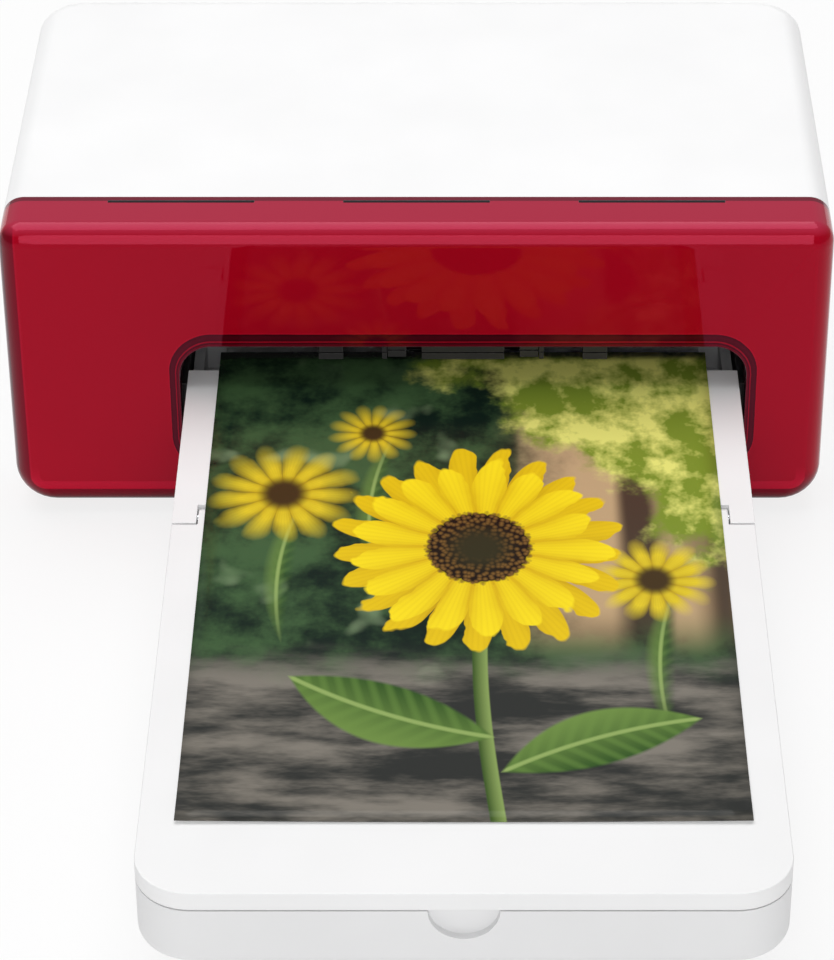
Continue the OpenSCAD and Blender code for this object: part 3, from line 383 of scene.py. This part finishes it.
def drawn_metal(name, colour, roughness, along=(0.02, 1.0, 1.0), width=0.15 * MM, depth=0.002 * MM):
    """Metal with streaks along one axis and brighter rubbed edges."""
    material, tree = new_material(name, Metallic=1.0)
    effect = place_group(tree, STREAKS, Streak_width=width, Along=along)
    streaks = effect.outputs["Streaks"]
    tone = mix(tree, streaks, darker(colour, 0.12), colour)
    rubbed = place_group(tree, WEAR, Amount=0.6).outputs["Mask"]
    tone = mix(tree, rubbed, tone, paler(colour, 0.4))
    rough = ramp(tree, streaks, 0.0, 1.0, roughness + 0.08, roughness)
    return dress(material, tone, rough, effect.outputs["Height"], depth)


def see_through_red(name):
    """Polished see-through red acrylic. At the rims of the shell and of the slot, where the eye looks along a
    wall, the colour is painted nearly black as painted shade, with painted bright lines; the top has a painted
    pale sheen."""
    material, tree = new_material(name, IOR=1.49, Transmission_Weight=0.15)
    shader = tree.nodes["Principled BSDF"]
    feed(tree, shader.inputs["Specular Tint"], (1.0, 0.16, 0.30))
    low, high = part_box("front_fascia")
    tray_low, tray_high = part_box("tray_base")
    lid_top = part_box("tray_lid")[1].z
    slot_low = (tray_low.x - SLOT_SIDE, lid_top - SLOT_BELOW)
    slot_high = (tray_high.x + SLOT_SIDE, lid_top + SLOT_ABOVE)
    lip_low = (slot_low[0] - LIP_SIDE, slot_low[1] - LIP_SIDE)
    lip_high = (slot_high[0] + LIP_SIDE, slot_high[1] + LIP_ABOVE)
    place = object_place(tree)
    x, y, z = put(tree, "ShaderNodeSeparateXYZ", None, Vector=place).outputs
    normal = put(tree, "ShaderNodeTexCoord").outputs["Normal"]
    facing = put(tree, "ShaderNodeSeparateXYZ", None, Vector=normal).outputs
    front = ramp(tree, facing[1], -0.10, -0.40)
    effect = place_group(tree, GRAIN, Grain_size=4 * MM, Patch_size=45 * MM)
    height = effect.outputs["Height"]
    tone = mix(tree, ramp(tree, effect.outputs["Patches"], 0.3, 0.7), RED_DEEP, RED)

    # painted shade and a painted bright line along the outer walls, seen from the front along their thickness at
    # the left side and underneath;
    # the right side is lit from beyond, so there the painted shade is mostly left out and its rim stays red above
    # the lower corner
    edge = rounded_distance(tree, x, z, (low.x, low.z + RIM_RISE), (high.x, high.z + 0.2), SHELL_CORNER)
    rim = stops(tree, calc(tree, "MULTIPLY", edge, -1 / RIM_SPAN), PAINTED_RIM_SHADE_AND_GLINT, RIM_SPAN)
    lit = calc(tree, "MINIMUM", ramp(tree, x, high.x - 8 * MM, high.x - 6 * MM),
               ramp(tree, z, low.z + 5 * MM, low.z + 9 * MM))
    dark = ramp(tree, lit, 0.0, 1.0, 1.0, 0.1)
    tone = mix(tree, times(tree, front, ramp(tree, edge, -3.9, -3.7), dark), tone, rim)
    # a painted highlight: a bright strip over the lower rim
    strip = times(tree, ramp(tree, edge, -5.4, -5.2), ramp(tree, edge, -3.35, -3.5),
                  ramp(tree, z, low.z + 10 * MM, low.z + 6 * MM))
    tone = mix(tree, calc(tree, "MULTIPLY", front, strip), tone, PAINTED_LOWER_GLINT)
    # the lower rim mirrors little, as it is dark behind
    mirrored = ramp(tree, z, low.z + 2.5 * MM, low.z + 5.5 * MM, 0.08, 0.5)
    tree.links.new(mirrored, shader.inputs["Specular IOR Level"])
    # the lip round the slot, painted shade with painted bright lines: 0 at its inner line, 1 at its outer line
    inner_at = rounded_distance(tree, x, z, slot_low, slot_high, SLOT_RADIUS)
    outer_at = rounded_distance(tree, x, z, lip_low, lip_high, SLOT_RADIUS + LIP_SIDE)
    streaks = noise(tree, stretch(tree, place, (220.0, 60.0, 900.0)), 1.0, 3.0, 0.6)
    share = calc(tree, "DIVIDE", inner_at, calc(tree, "SUBTRACT", inner_at, outer_at))
    wavy = calc(tree, "MULTIPLY_ADD", calc(tree, "SUBTRACT", streaks, 0.5), 0.06, share)
    lip = stops(tree, calc(tree, "MULTIPLY", wavy, LIP_SCALE), PAINTED_LIP_SHADE_AND_GLINTS)
    tone = mix(tree, ramp(tree, share, 1.1, 1.05), tone, lip)
    # painted highlight: the top is painted pale where it catches the light
    tone = mix(tree, ramp(tree, facing[2], 0.55, 0.9), tone, PAINTED_TOP_SHEEN)
    # painted shade on the walls inside the lip, with streaks, and painted shade where the shell overlaps the white
    # casing at the seam
    inside = calc(tree, "MULTIPLY", ramp(tree, inner_at, 0.3, 0.1),
                  ramp(tree, y, low.y + 0.3 * MM, low.y + 0.8 * MM))
    tone = mix(tree, inside, tone, mix(tree, streaks, (0.02, 0.001, 0.003), (0.16, 0.008, 0.02)))
    tone = mix(tree, ramp(tree, y, high.y - 1.75 * MM, high.y - 1.55 * MM), tone, PAINTED_SEAM_SHADE)
    return dress(material, tone, ramp(tree, height, 0.3, 0.7, 0.015, 0.035), height, 0.003 * MM)


def rubber(name, colour):
    material, tree = new_material(name, Specular_IOR_Level=0.3)
    effect = place_group(tree, GRAIN, Grain_size=0.25 * MM, Patch_size=6 * MM)
    height = effect.outputs["Height"]
    tone = mix(tree, effect.outputs["Patches"], colour, paler(colour, 0.06))
    return dress(material, tone, ramp(tree, height, 0.0, 1.0, 0.6, 0.85), height, 0.02 * MM)


def blank_paper(name):
    """Coated paper, with the edges of the sheets showing as fine lines."""
    material, tree = new_material(name, Coat_Weight=0.35, Coat_Roughness=0.12)
    place = object_place(tree)
    fibres = noise(tree, place, 2500.0, 4.0, 0.7)
    layers = noise(tree, stretch(tree, place, (20.0, 20.0, 5200.0)), 1.0, 2.0)
    tone = mix(tree, ramp(tree, layers, 0.35, 0.65), (0.80, 0.80, 0.79), (0.90, 0.90, 0.89))
    return dress(material, tone, ramp(tree, fibres, 0.2, 0.8, 0.3, 0.42), fibres, 0.002 * MM)


def inked_film(name, colour, stripe):
    """Thin coated film, wound tight, with a change of ink."""
    material, tree = new_material(name, Coat_Weight=0.6, Coat_Roughness=0.1)
    place = object_place(tree)
    windings = noise(tree, stretch(tree, place, (2500.0, 60.0, 60.0)), 1.0, 3.0)
    tone = mix(tree, ramp(tree, windings, 0.4, 0.6), colour, stripe)
    return dress(material, tone, ramp(tree, windings, 0.3, 0.7, 0.15, 0.3), windings, 0.003 * MM)


def circuit_board(name):
    """Green solder mask with faint copper tracks under it."""
    material, tree = new_material(name, Coat_Weight=0.4, Coat_Roughness=0.15)
    place = object_place(tree)
    cells = put(tree, "ShaderNodeTexVoronoi", {"distance": "CHEBYCHEV", "feature": "F1"},
                Vector=stretch(tree, place, (300.0, 420.0, 50.0)), Scale=1.0)
    rings = calc(tree, "PINGPONG", calc(tree, "MULTIPLY", cells.outputs["Distance"], 6.0), 1.0)
    tracks = ramp(tree, rings, 0.4, 0.6)
    tone = mix(tree, tracks, (0.006, 0.09, 0.03), (0.015, 0.16, 0.06))
    return dress(material, tone, ramp(tree, tracks, 0.0, 1.0, 0.35, 0.25), tracks, 0.02 * MM)


def tinted_lens(name):
    material, tree = new_material(name, IOR=1.49, Transmission_Weight=0.7)
    effect = place_group(tree, GRAIN, Grain_size=0.3 * MM, Patch_size=3 * MM)
    tone = mix(tree, effect.outputs["Patches"], (0.35, 0.85, 0.5), (0.55, 0.95, 0.65))
    return dress(material, tone, ramp(tree, effect.outputs["Height"], 0.0, 1.0, 0.1, 0.3))


def glazed_strip(name):
    material, tree = new_material(name, Coat_Weight=0.5, Coat_Roughness=0.08)
    place = object_place(tree)
    dots = put(tree, "ShaderNodeTexWave", {"bands_direction": "X"}, Vector=place, Scale=600.0).outputs[1]
    tone = mix(tree, dots, (0.22, 0.12, 0.07), (0.36, 0.2, 0.12))
    return dress(material, tone, ramp(tree, dots, 0.0, 1.0, 0.2, 0.35), dots, 0.01 * MM)


def flower_picture(name):
    """Printed picture: a yellow flower in a garden, with other flowers out of focus behind it.
    u runs across the sheet and v from its near edge to its far edge."""
    material, tree = new_material(name, Specular_IOR_Level=0.12)
    place = put(tree, "ShaderNodeTexCoord").outputs["UV"]
    u, v = put(tree, "ShaderNodeSeparateXYZ", None, Vector=place).outputs[:2]

    def cloud(scale, detail=3.0, rough=0.55, move=(0, 0, 0)):
        return noise(tree, stretch(tree, place, scale, move), 1.0, detail, rough, "2D")

    def offset(at, size):
        """Place on the sheet from a point, in sizes, across and along."""
        return (calc(tree, "MULTIPLY", calc(tree, "SUBTRACT", u, at[0]), 1.0 / size),
                calc(tree, "MULTIPLY", calc(tree, "SUBTRACT", v, at[1]), 1.3 / size))

    def petals(under, at, size, count, turn, soft, dark, light):
        """A ring of petals."""
        across, along = offset(at, size)
        reach = calc(tree, "SQRT", squares(tree, across, along))
        wobble = calc(tree, "SUBTRACT", cloud((9.0, 12.0, 1.0), 3.0, 0.5, (turn, size, 0)), 0.5)
        angle = calc(tree, "MULTIPLY_ADD", calc(tree, "ARCTAN2", along, across), count / 2, turn)
        ragged = calc(tree, "MULTIPLY_ADD", wobble, 1.3, angle)
        lobe = calc(tree, "ABSOLUTE", calc(tree, "COSINE", ragged))
        rim = calc(tree, "MULTIPLY_ADD", calc(tree, "POWER", lobe, 0.55), 0.36, 0.62)
        rim = calc(tree, "MULTIPLY_ADD", wobble, 0.3, rim)
        inside = ramp(tree, calc(tree, "SUBTRACT", rim, reach), -soft, soft)
        vein = calc(tree, "ABSOLUTE", calc(tree, "SINE", calc(tree, "MULTIPLY", angle, 7.0)))
        domed = calc(tree, "MULTIPLY", calc(tree, "POWER", lobe, 0.7), 0.55)
        shade = calc(tree, "MULTIPLY_ADD", vein, 0.12, domed)
        shade = calc(tree, "MULTIPLY_ADD", reach, 0.45, calc(tree, "SUBTRACT", shade, 0.1))
        return mix(tree, inside, under, mix(tree, shade, dark, light))

    def leaf(under, at, size, slope, narrow, soft):
        """A pointed leaf with a pale midrib."""
        across, along = offset(at, size)
        turn = (math.cos(slope), math.sin(slope))
        length = calc(tree, "MULTIPLY_ADD", across, turn[0], calc(tree, "MULTIPLY", along, turn[1]))
        side = calc(tree, "MULTIPLY_ADD", along, turn[0], calc(tree, "MULTIPLY", across, -turn[1]))
        square = calc(tree, "MULTIPLY", length, length)
        side = calc(tree, "MULTIPLY_ADD", square, 0.10, side)
        width = calc(tree, "MULTIPLY", calc(tree, "SUBTRACT", 1.0, square), narrow)
        far = calc(tree, "ABSOLUTE", side)
        inside = ramp(tree, calc(tree, "SUBTRACT", width, far), -soft, soft)
        slanted = calc(tree, "MULTIPLY_ADD", far, -26.0, calc(tree, "MULTIPLY", length, 34.0))
        ribs = calc(tree, "SINE", slanted)
        tone = mix(tree, ramp(tree, ribs, -0.6, 1.0), (0.030, 0.085, 0.016), (0.075, 0.16, 0.032))
        tone = mix(tree, ramp(tree, side, -narrow, narrow), tone, (0.16, 0.27, 0.06))
        tone = mix(tree, ramp(tree, far, 0.035, 0.012), tone, (0.28, 0.40, 0.12))
        return mix(tree, inside, under, tone)

    # hedge in shade, out of focus
    leaves = cloud((5.0, 7.0, 1.0), 5.0, 0.62, (3.0, 1.0, 0))
    picture = mix(tree, ramp(tree, leaves, 0.34, 0.66, smooth=True),
                  (0.006, 0.016, 0.011), (0.055, 0.115, 0.045))
    glints = ramp(tree, cloud((8.0, 10.0, 1.0), 2.0, 0.4, (6.0, 2.0, 0)), 0.64, 0.80, smooth=True)
    picture = mix(tree, calc(tree, "MULTIPLY", glints, 0.5), picture, (0.33, 0.46, 0.25))
    # sunlit fence on the right, with a bright bush over it
    boards = ramp(tree, cloud((9.0, 0.5, 1.0), 1.0, 0.4, (1.0, 0, 0)), 0.40, 0.58, smooth=True)
    fence = mix(tree, boards, (0.07, 0.045, 0.03), (0.52, 0.36, 0.20))
    right = ramp(tree, calc(tree, "MULTIPLY_ADD", leaves, 0.25, u), 0.66, 0.84, smooth=True)
    high = ramp(tree, v, 0.30, 0.42, smooth=True)
    picture = mix(tree, calc(tree, "MULTIPLY", right, high), picture, fence)
    sunny = ramp(tree, cloud((11.0, 13.0, 1.0), 4.0, 0.6, (9.0, 4.0, 0)), 0.42, 0.62)
    bloom = calc(tree, "MULTIPLY_ADD", v, 0.75, calc(tree, "MULTIPLY", u, 0.65))
    bloom = calc(tree, "MULTIPLY_ADD", leaves, 0.35, bloom)
    picture = mix(tree, ramp(tree, bloom, 1.16, 1.24, smooth=True), picture,
                  mix(tree, sunny, (0.20, 0.28, 0.03), (0.78, 0.78, 0.20)))
    # wet ground in front
    puddles = ramp(tree, cloud((3.0, 16.0, 1.0), 5.0, 0.6, (2.0, 8.0, 0)), 0.35, 0.7, smooth=True)
    ground = mix(tree, puddles, (0.030, 0.032, 0.030), (0.22, 0.20, 0.17))
    nearer = ramp(tree, calc(tree, "MULTIPLY_ADD", leaves, 0.06, v), 0.38, 0.28, smooth=True)
    picture = mix(tree, nearer, picture, ground)
    # flowers behind
    behind = (((0.15, 0.66), 0.12, 0.30), ((0.86, 0.47), 0.10, 0.22), ((0.32, 0.80), 0.07, 0.35))
    for at, size, soft in behind:
        picture = leaf(picture, (at[0], at[1] - 0.16), 0.15, 1.5, 0.10, 0.10)
        picture = petals(picture, at, size, 13, 0.4, soft, (0.42, 0.26, 0.010), (0.80, 0.62, 0.03))
        heart = ramp(tree, squares(tree, *offset(at, size)), 0.22, 0.04, smooth=True)
        picture = mix(tree, heart, picture, (0.06, 0.035, 0.012))
    # the flower in front, on its stem
    bend = calc(tree, "MULTIPLY", calc(tree, "SINE", calc(tree, "MULTIPLY", v, 5.0)), 0.03)
    stem = calc(tree, "SUBTRACT", calc(tree, "ADD", u, bend), 0.56)
    below = ramp(tree, v, 0.52, 0.50)
    stem_tone = mix(tree, ramp(tree, stem, -0.012, 0.012), (0.05, 0.10, 0.02), (0.24, 0.34, 0.10))
    stalk = calc(tree, "MULTIPLY", ramp(tree, calc(tree, "ABSOLUTE", stem), 0.0155, 0.0125), below)
    picture = mix(tree, stalk, picture, stem_tone)
    picture = leaf(picture, (0.36, 0.20), 0.20, 2.75, 0.36, 0.02)
    picture = leaf(picture, (0.74, 0.155), 0.19, 0.35, 0.34, 0.02)
    head = (0.53, 0.54)
    picture = petals(picture, head, 0.285, 21, 0.9, 0.012, (0.46, 0.25, 0.006), (0.80, 0.55, 0.010))
    picture = petals(picture, head, 0.250, 17, 0.2, 0.012, (0.60, 0.34, 0.006), (0.95, 0.74, 0.016))
    reach = calc(tree, "SQRT", squares(tree, *offset(head, 0.250)))
    seeds = put(tree, "ShaderNodeTexVoronoi", {"voronoi_dimensions": "2D"},
                Vector=stretch(tree, place, (95.0, 120.0, 1.0)), Scale=1.0).outputs["Distance"]
    disc = mix(tree, ramp(tree, seeds, 0.1, 0.6), (0.20, 0.10, 0.025), (0.014, 0.007, 0.004))
    disc = mix(tree, ramp(tree, reach, 0.10, 0.34, smooth=True), (0.035, 0.030, 0.012), disc)
    wobble = calc(tree, "MULTIPLY", calc(tree, "SUBTRACT", seeds, 0.4), 0.05)
    picture = mix(tree, ramp(tree, calc(tree, "ADD", reach, wobble), 0.42, 0.385), picture, disc)
    paper = noise(tree, stretch(tree, place, (400.0, 600.0, 1.0)), 1.0, 3.0)
    return dress(material, picture, ramp(tree, paper, 0.0, 1.0, 0.18, 0.24), paper, 0.001 * MM)


FINISH = {
    "white_plastic": moulded_plastic("white_casing", (0.965, 0.965, 0.968), 0.36),
    "red_shell": see_through_red("red_acrylic"),
    "dark_lining": moulded_plastic("dark_lining", (0.20, 0.004, 0.012), 0.5),
    "tray_white": moulded_plastic("white_tray_top", (0.885, 0.885, 0.888), 0.42, 0.4 * MM, 0.006 * MM),
    "tray_grey": moulded_plastic("white_tray_base", (0.805, 0.805, 0.81), 0.42, 0.4 * MM, 0.006 * MM),
    "black_plastic": moulded_plastic("black_plastic", (0.034, 0.032, 0.032), 0.45, 0.3 * MM, 0.01 * MM,
                                     wear=0.3),
    "case_grey": moulded_plastic("grey_cartridge", (0.09, 0.095, 0.105), 0.42, 0.3 * MM, 0.01 * MM,
                                 wear=0.3),
    "button_grey": moulded_plastic("grey_button", (0.45, 0.46, 0.48), 0.35, 0.3 * MM, 0.005 * MM,
                                   wear=0.4),
    "gear_white": moulded_plastic("gear_acetal", (0.78, 0.76, 0.68), 0.38, 0.4 * MM, 0.003 * MM,
                                  Subsurface_Weight=0.1, Subsurface_Scale=0.002),
    "steel_sheet": drawn_metal("plated_sheet", (0.60, 0.61, 0.63), 0.34),
    "steel_shaft": drawn_metal("ground_steel", (0.72, 0.73, 0.75), 0.16, (1.0, 0.05, 0.05), 0.08 * MM),
    "motor_can": drawn_metal("nickel_can", (0.56, 0.57, 0.59), 0.28, (1.0, 0.05, 0.05)),
    "heatsink_alu": drawn_metal("extruded_aluminium", (0.74, 0.75, 0.77), 0.32),
    "brass": drawn_metal("turned_brass", (0.72, 0.53, 0.24), 0.25, (1.0, 0.05, 0.05)),
    "rubber_black": rubber("foot_rubber", (0.03, 0.03, 0.032)),
    "roller_rubber": rubber("roller_rubber", (0.055, 0.055, 0.06)),
    "head_ceramic": glazed_strip("glazed_strip"),
    "ribbon_amber": inked_film("amber_film", (0.50, 0.30, 0.05), (0.65, 0.42, 0.08)),
    "ribbon_ink": inked_film("dark_film", (0.12, 0.02, 0.09), (0.05, 0.03, 0.12)),
    "board_green": circuit_board("solder_mask"),
    "lens_green": tinted_lens("green_lens"),
    "paper": blank_paper("blank_paper"),
    "photo_print": flower_picture("flower_picture"),
}
SLOT_OF = {part["node"]: part["material_slot"] for part in frame["record"]["subparts"]}
BODIES = frame["record"]["behaviour"]["bodies"]
BODY_OF = {node: body for body, members in BODIES.items() for node in members}


# ---------------------------------------------------------------- pieces

def link_mesh(name, mesh):
    piece = bpy.data.objects.new(name, mesh)
    SCENE.collection.objects.link(piece)
    return piece


def drawn_mesh(name, shape):
    """A mesh from a drawn shape, which is used up."""
    mesh = bpy.data.meshes.new(name)
    shape.to_mesh(mesh)
    shape.free()
    return mesh


def solved_mesh(piece):
    """A piece's mesh as its modifiers or its curve settings make it."""
    bpy.context.view_layer.update()
    solved = piece.evaluated_get(bpy.context.evaluated_depsgraph_get())
    return bpy.data.meshes.new_from_object(solved)


def stand_for(piece, node):
    """Gives a piece the slot and the finish of the CAD node that it replaces."""
    slot = SLOT_OF[node]
    if not piece.data.materials:
        piece.data.materials.append(FINISH[slot])
    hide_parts(node)


def hinge_place(joint):
    """X and Y of a joint's axis."""
    return next(each for each in frame["joints"] if each["name"] == joint)["pos_m"][:2]


def softened(node, edge):
    """The same shape as a CAD node, with rounded edges and smooth curves."""
    name = node + "_soft"
    mesh = frame["nodes"][node].data.copy()
    mesh.name = name
    mesh.materials.clear()
    shape = bmesh.new()
    shape.from_mesh(mesh)
    bmesh.ops.remove_doubles(shape, verts=shape.verts, dist=WELD)
    bmesh.ops.dissolve_limit(shape, angle_limit=math.radians(FLAT_ANGLE), verts=shape.verts,
                             edges=shape.edges)
    for face in shape.faces:
        face.smooth = True
    shape.to_mesh(mesh)
    shape.free()
    piece = link_mesh(name, mesh)
    bevel = piece.modifiers.new("round", "BEVEL")
    bevel.width = edge
    bevel.segments = EDGE_SEGMENTS
    bevel.limit_method = "ANGLE"
    bevel.angle_limit = math.radians(SHARP_ANGLE)
    bevel.use_clamp_overlap = True
    bevel.miter_outer = "MITER_ARC"
    weights = piece.modifiers.new("even", "WEIGHTED_NORMAL")
    weights.keep_sharp = False
    solved = solved_mesh(piece)
    piece.modifiers.clear()
    piece.data = solved
    stand_for(piece, node)
    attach(piece, BODY_OF[node])
    return piece


def paint_vent_shade(piece):
    """Paints the walls of the vent slits dark grey, as painted shade inside the slits."""
    vent_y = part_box("front_fascia")[1].y - VENT_AT
    piece.data.materials.append(FINISH["case_grey"])
    reach = VENT_WIDTH / 2 + 0.02 * MM
    for face in piece.data.polygons:
        if all(abs(piece.data.vertices[i].co.y - vent_y) < reach for i in face.vertices):
            face.material_index = 1


# pieces that are their CAD shape with rounded edges, and the radius of those edges in mm
EDGES = {
    "body_shell": 0.3, "front_fascia": 0.3, "side_door": 0.35, "bottom_cover": 0.3, "tray_base": 0.35,
    "tray_deck": 0.3, "tray_lid": 0.35, "rubber_feet": 0.3, "power_button": 0.4, "fan_frame": 0.2,
    "ribbon_case": 0.25, "exit_guide": 0.15, "exit_ramp": 0.15, "tray_guide": 0.2, "front_backing": 0.15,
    "chassis_base": 0.15, "left_side_frame": 0.15, "right_side_frame": 0.15, "tie_bar": 0.15,
    "head_carrier": 0.15, "head_heatsink": 0.1, "lift_plate": 0.15, "feed_motor": 0.3, "ribbon_motor": 0.3,
    "main_board": 0.1, "board_parts": 0.15, "power_jack": 0.2, "usb_socket": 0.1, "button_switch": 0.15,
    "status_lens": 0.2, "base_screws": 0.1, "door_pin": 0.15, "lid_pins": 0.15, "print_head": 0.15,
    "platen_gear": 0.08, "feed_gear": 0.08, "pickup_gear": 0.08, "transfer_gear": 0.08, "idler_gear": 0.08,
    "takeup_gear": 0.08, "motor_pinion": 0.08, "ribbon_pinion": 0.08, "shaft_bushes": 0.1,
    "platen_shaft": 0.2, "platen_rubber": 0.2, "feed_roller": 0.15, "pinch_roller": 0.15,
    "pickup_shaft": 0.2, "pickup_tyres": 0.3, "supply_spool": 0.15, "supply_roll": 0.2,
    "takeup_spool": 0.15, "takeup_roll": 0.2, "ribbon_film": 0.02, "fan_rotor": 0.08,
}


def printed_sheet():
    """The finished print: a thin sheet with its picture on top and a faint lift at the near edge."""
    low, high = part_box("printed_sheet")
    across, along = PRINT_CELLS
    shape = bmesh.new()
    uv = shape.loops.layers.uv.new("sheet")

    def share(x, y):
        """Place on the sheet, 0 to 1 across and along it."""
        return (x - low.x) / (high.x - low.x), (y - low.y) / (high.y - low.y)

    def corner(i, j, z):
        x = low.x + (high.x - low.x) * i / across
        y = low.y + (high.y - low.y) * j / along
        u, v = share(x, y)
        near = max(0.0, 1 - v / 0.12) ** 2
        return shape.verts.new((x, y, z + PRINT_LIFT * near * (0.4 + 2.4 * (u - 0.5) ** 2)))

    def face(corners, picture):
        made = shape.faces.new(corners)
        made.smooth = True
        made.material_index = 0 if picture else 1
        for loop in made.loops:
            loop[uv].uv = share(*loop.vert.co[:2])

    top = [[corner(i, j, high.z) for i in range(across + 1)] for j in range(along + 1)]
    base = [[corner(i, j, low.z) for i in range(across + 1)] for j in range(along + 1)]
    for j in range(along):
        for i in range(across):
            face([top[j][i], top[j][i + 1], top[j + 1][i + 1], top[j + 1][i]], True)
            face([base[j][i], base[j + 1][i], base[j + 1][i + 1], base[j][i + 1]], False)
    rim = ([(0, i) for i in range(across)] + [(j, across) for j in range(along)]
           + [(along, i) for i in range(across, 0, -1)] + [(j, 0) for j in range(along, 0, -1)])
    for (j, i), (next_j, next_i) in zip(rim, rim[1:] + rim[:1]):
        face([top[j][i], base[j][i], base[next_j][next_i], top[next_j][next_i]], True)
    piece = link_mesh("finished_print", drawn_mesh("print", shape))
    for finish in ("photo_print", "paper"):
        piece.data.materials.append(FINISH[finish])
    stand_for(piece, "printed_sheet")
    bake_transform(piece)


def blank_sheets():
    """The stack of blank sheets, each a little out of line with the next, with extra rows of faces
    about the hinge of the lift plate."""
    low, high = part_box("paper_stack")
    hinge_x, hinge_y = hinge_place("lift_hinge")
    thick = (high.z - low.z) / SHEETS
    chance = random.Random(4)
    shape = bmesh.new()
    for i in range(SHEETS):
        shift = Vector((chance.uniform(0, SHEET_SHIFT[0]), chance.uniform(0, SHEET_SHIFT[1]), 0)) * MM
        a = Vector((low.x, low.y, low.z + i * thick)) + shift
        b = Vector((high.x, high.y, low.z + (i + 0.96) * thick)) - shift
        rows = [a.y] + [hinge_y + STACK_BEND * k / 3 for k in range(-3, 4)] + [b.y]
        section = ((a.x, a.z), (b.x, a.z), (b.x, b.z), (a.x, b.z))
        rings = [[shape.verts.new((x, y, z)) for x, z in section] for y in rows]
        shape.faces.new(rings[0])
        shape.faces.new(reversed(rings[-1]))
        for near, far in zip(rings, rings[1:]):
            for k in range(4):
                shape.faces.new((near[k], far[k], far[(k + 1) % 4], near[(k + 1) % 4]))
    bmesh.ops.recalc_face_normals(shape, faces=shape.faces)
    piece = link_mesh("blank_sheets", drawn_mesh("sheets", shape))
    stand_for(piece, "paper_stack")
    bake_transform(piece)


def coil_springs():
    """Two compression springs over the print head, attached to the body of the CAD springs."""
    low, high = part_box("head_springs")
    centre_y = (low.y + high.y) / 2
    radius = (high.y - low.y) / 2 - SPRING_WIRE
    bottom, top = low.z + SPRING_WIRE, high.z - SPRING_WIRE
    steps = SPRING_STEPS * SPRING_TURNS
    curve = bpy.data.curves.new("springs", "CURVE")
    curve.dimensions = "3D"
    curve.bevel_depth = SPRING_WIRE
    curve.bevel_resolution = 3
    for x in (low.x + radius + SPRING_WIRE, high.x - radius - SPRING_WIRE):
        line = curve.splines.new("POLY")
        line.points.add(steps)
        for i, point in enumerate(line.points):
            turn = SPRING_TURNS * i / steps
            # the end turns lie flat
            rise = min(1.0, max(0.0, (turn - 0.8) / (SPRING_TURNS - 1.6)))
            angle = math.tau * turn
            point.co = (x + radius * math.cos(angle), centre_y + radius * math.sin(angle),
                        bottom + (top - bottom) * rise, 1)
    rough = link_mesh("coil_springs_line", curve)
    piece = link_mesh("coil_springs", solved_mesh(rough))
    bpy.data.objects.remove(rough)
    stand_for(piece, "head_springs")
    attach(piece, BODY_OF["head_springs"])
    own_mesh(piece)


# ---------------------------------------------------------------- surroundings

def floor():
    shape = bmesh.new()
    bmesh.ops.create_grid(shape, x_segments=1, y_segments=1, size=FLOOR_HALF)
    piece = link_mesh("floor", drawn_mesh("floor", shape))
    material = bpy.data.materials.new("floor")
    material.use_nodes = True
    tree = material.node_tree
    tree.nodes.clear()
    matt = put(tree, "ShaderNodeBsdfDiffuse", None, Color=(0.88, 0.88, 0.88))
    glow = put(tree, "ShaderNodeEmission", None, Color=(1, 1, 1), Strength=1.0)
    seen = put(tree, "ShaderNodeLightPath")
    direct = calc(tree, "MAXIMUM", seen.outputs["Is Camera Ray"], seen.outputs["Is Glossy Ray"])
    direct = calc(tree, "MAXIMUM", direct, seen.outputs["Is Transmission Ray"])
    blend = put(tree, "ShaderNodeMixShader", None, Fac=calc(tree, "MULTIPLY", direct, FLOOR_GLOW))
    tree.links.new(matt.outputs[0], blend.inputs[1])
    tree.links.new(glow.outputs[0], blend.inputs[2])
    out = put(tree, "ShaderNodeOutputMaterial")
    tree.links.new(blend.outputs[0], out.inputs["Surface"])
    piece.data.materials.append(material)


def soft_world(level):
    """Even soft light from all round."""
    world = bpy.data.worlds.new("studio")
    world.use_nodes = True
    SCENE.world = world
    sky = world.node_tree.nodes["Background"]
    sky.inputs["Color"].default_value = (1, 1, 1, 1)
    sky.inputs["Strength"].default_value = level


add_camera()
SCENE.view_settings.view_transform = "Standard"
soft_world(WORLD_LIGHT)
add_softbox("top_softbox", (-0.2, 0.45, 1.85), (0, 0, 0), (2.0, 1.6), 28)
add_softbox("front_softbox", (0.0, -1.5, 0.70), (0, 0, 0.05), (0.58, 1.5), 10)
floor()

for node, edge in EDGES.items():
    made = softened(node, edge * MM)
    if node == "front_fascia":
        paint_vent_shade(made)
printed_sheet()
blank_sheets()
coil_springs()
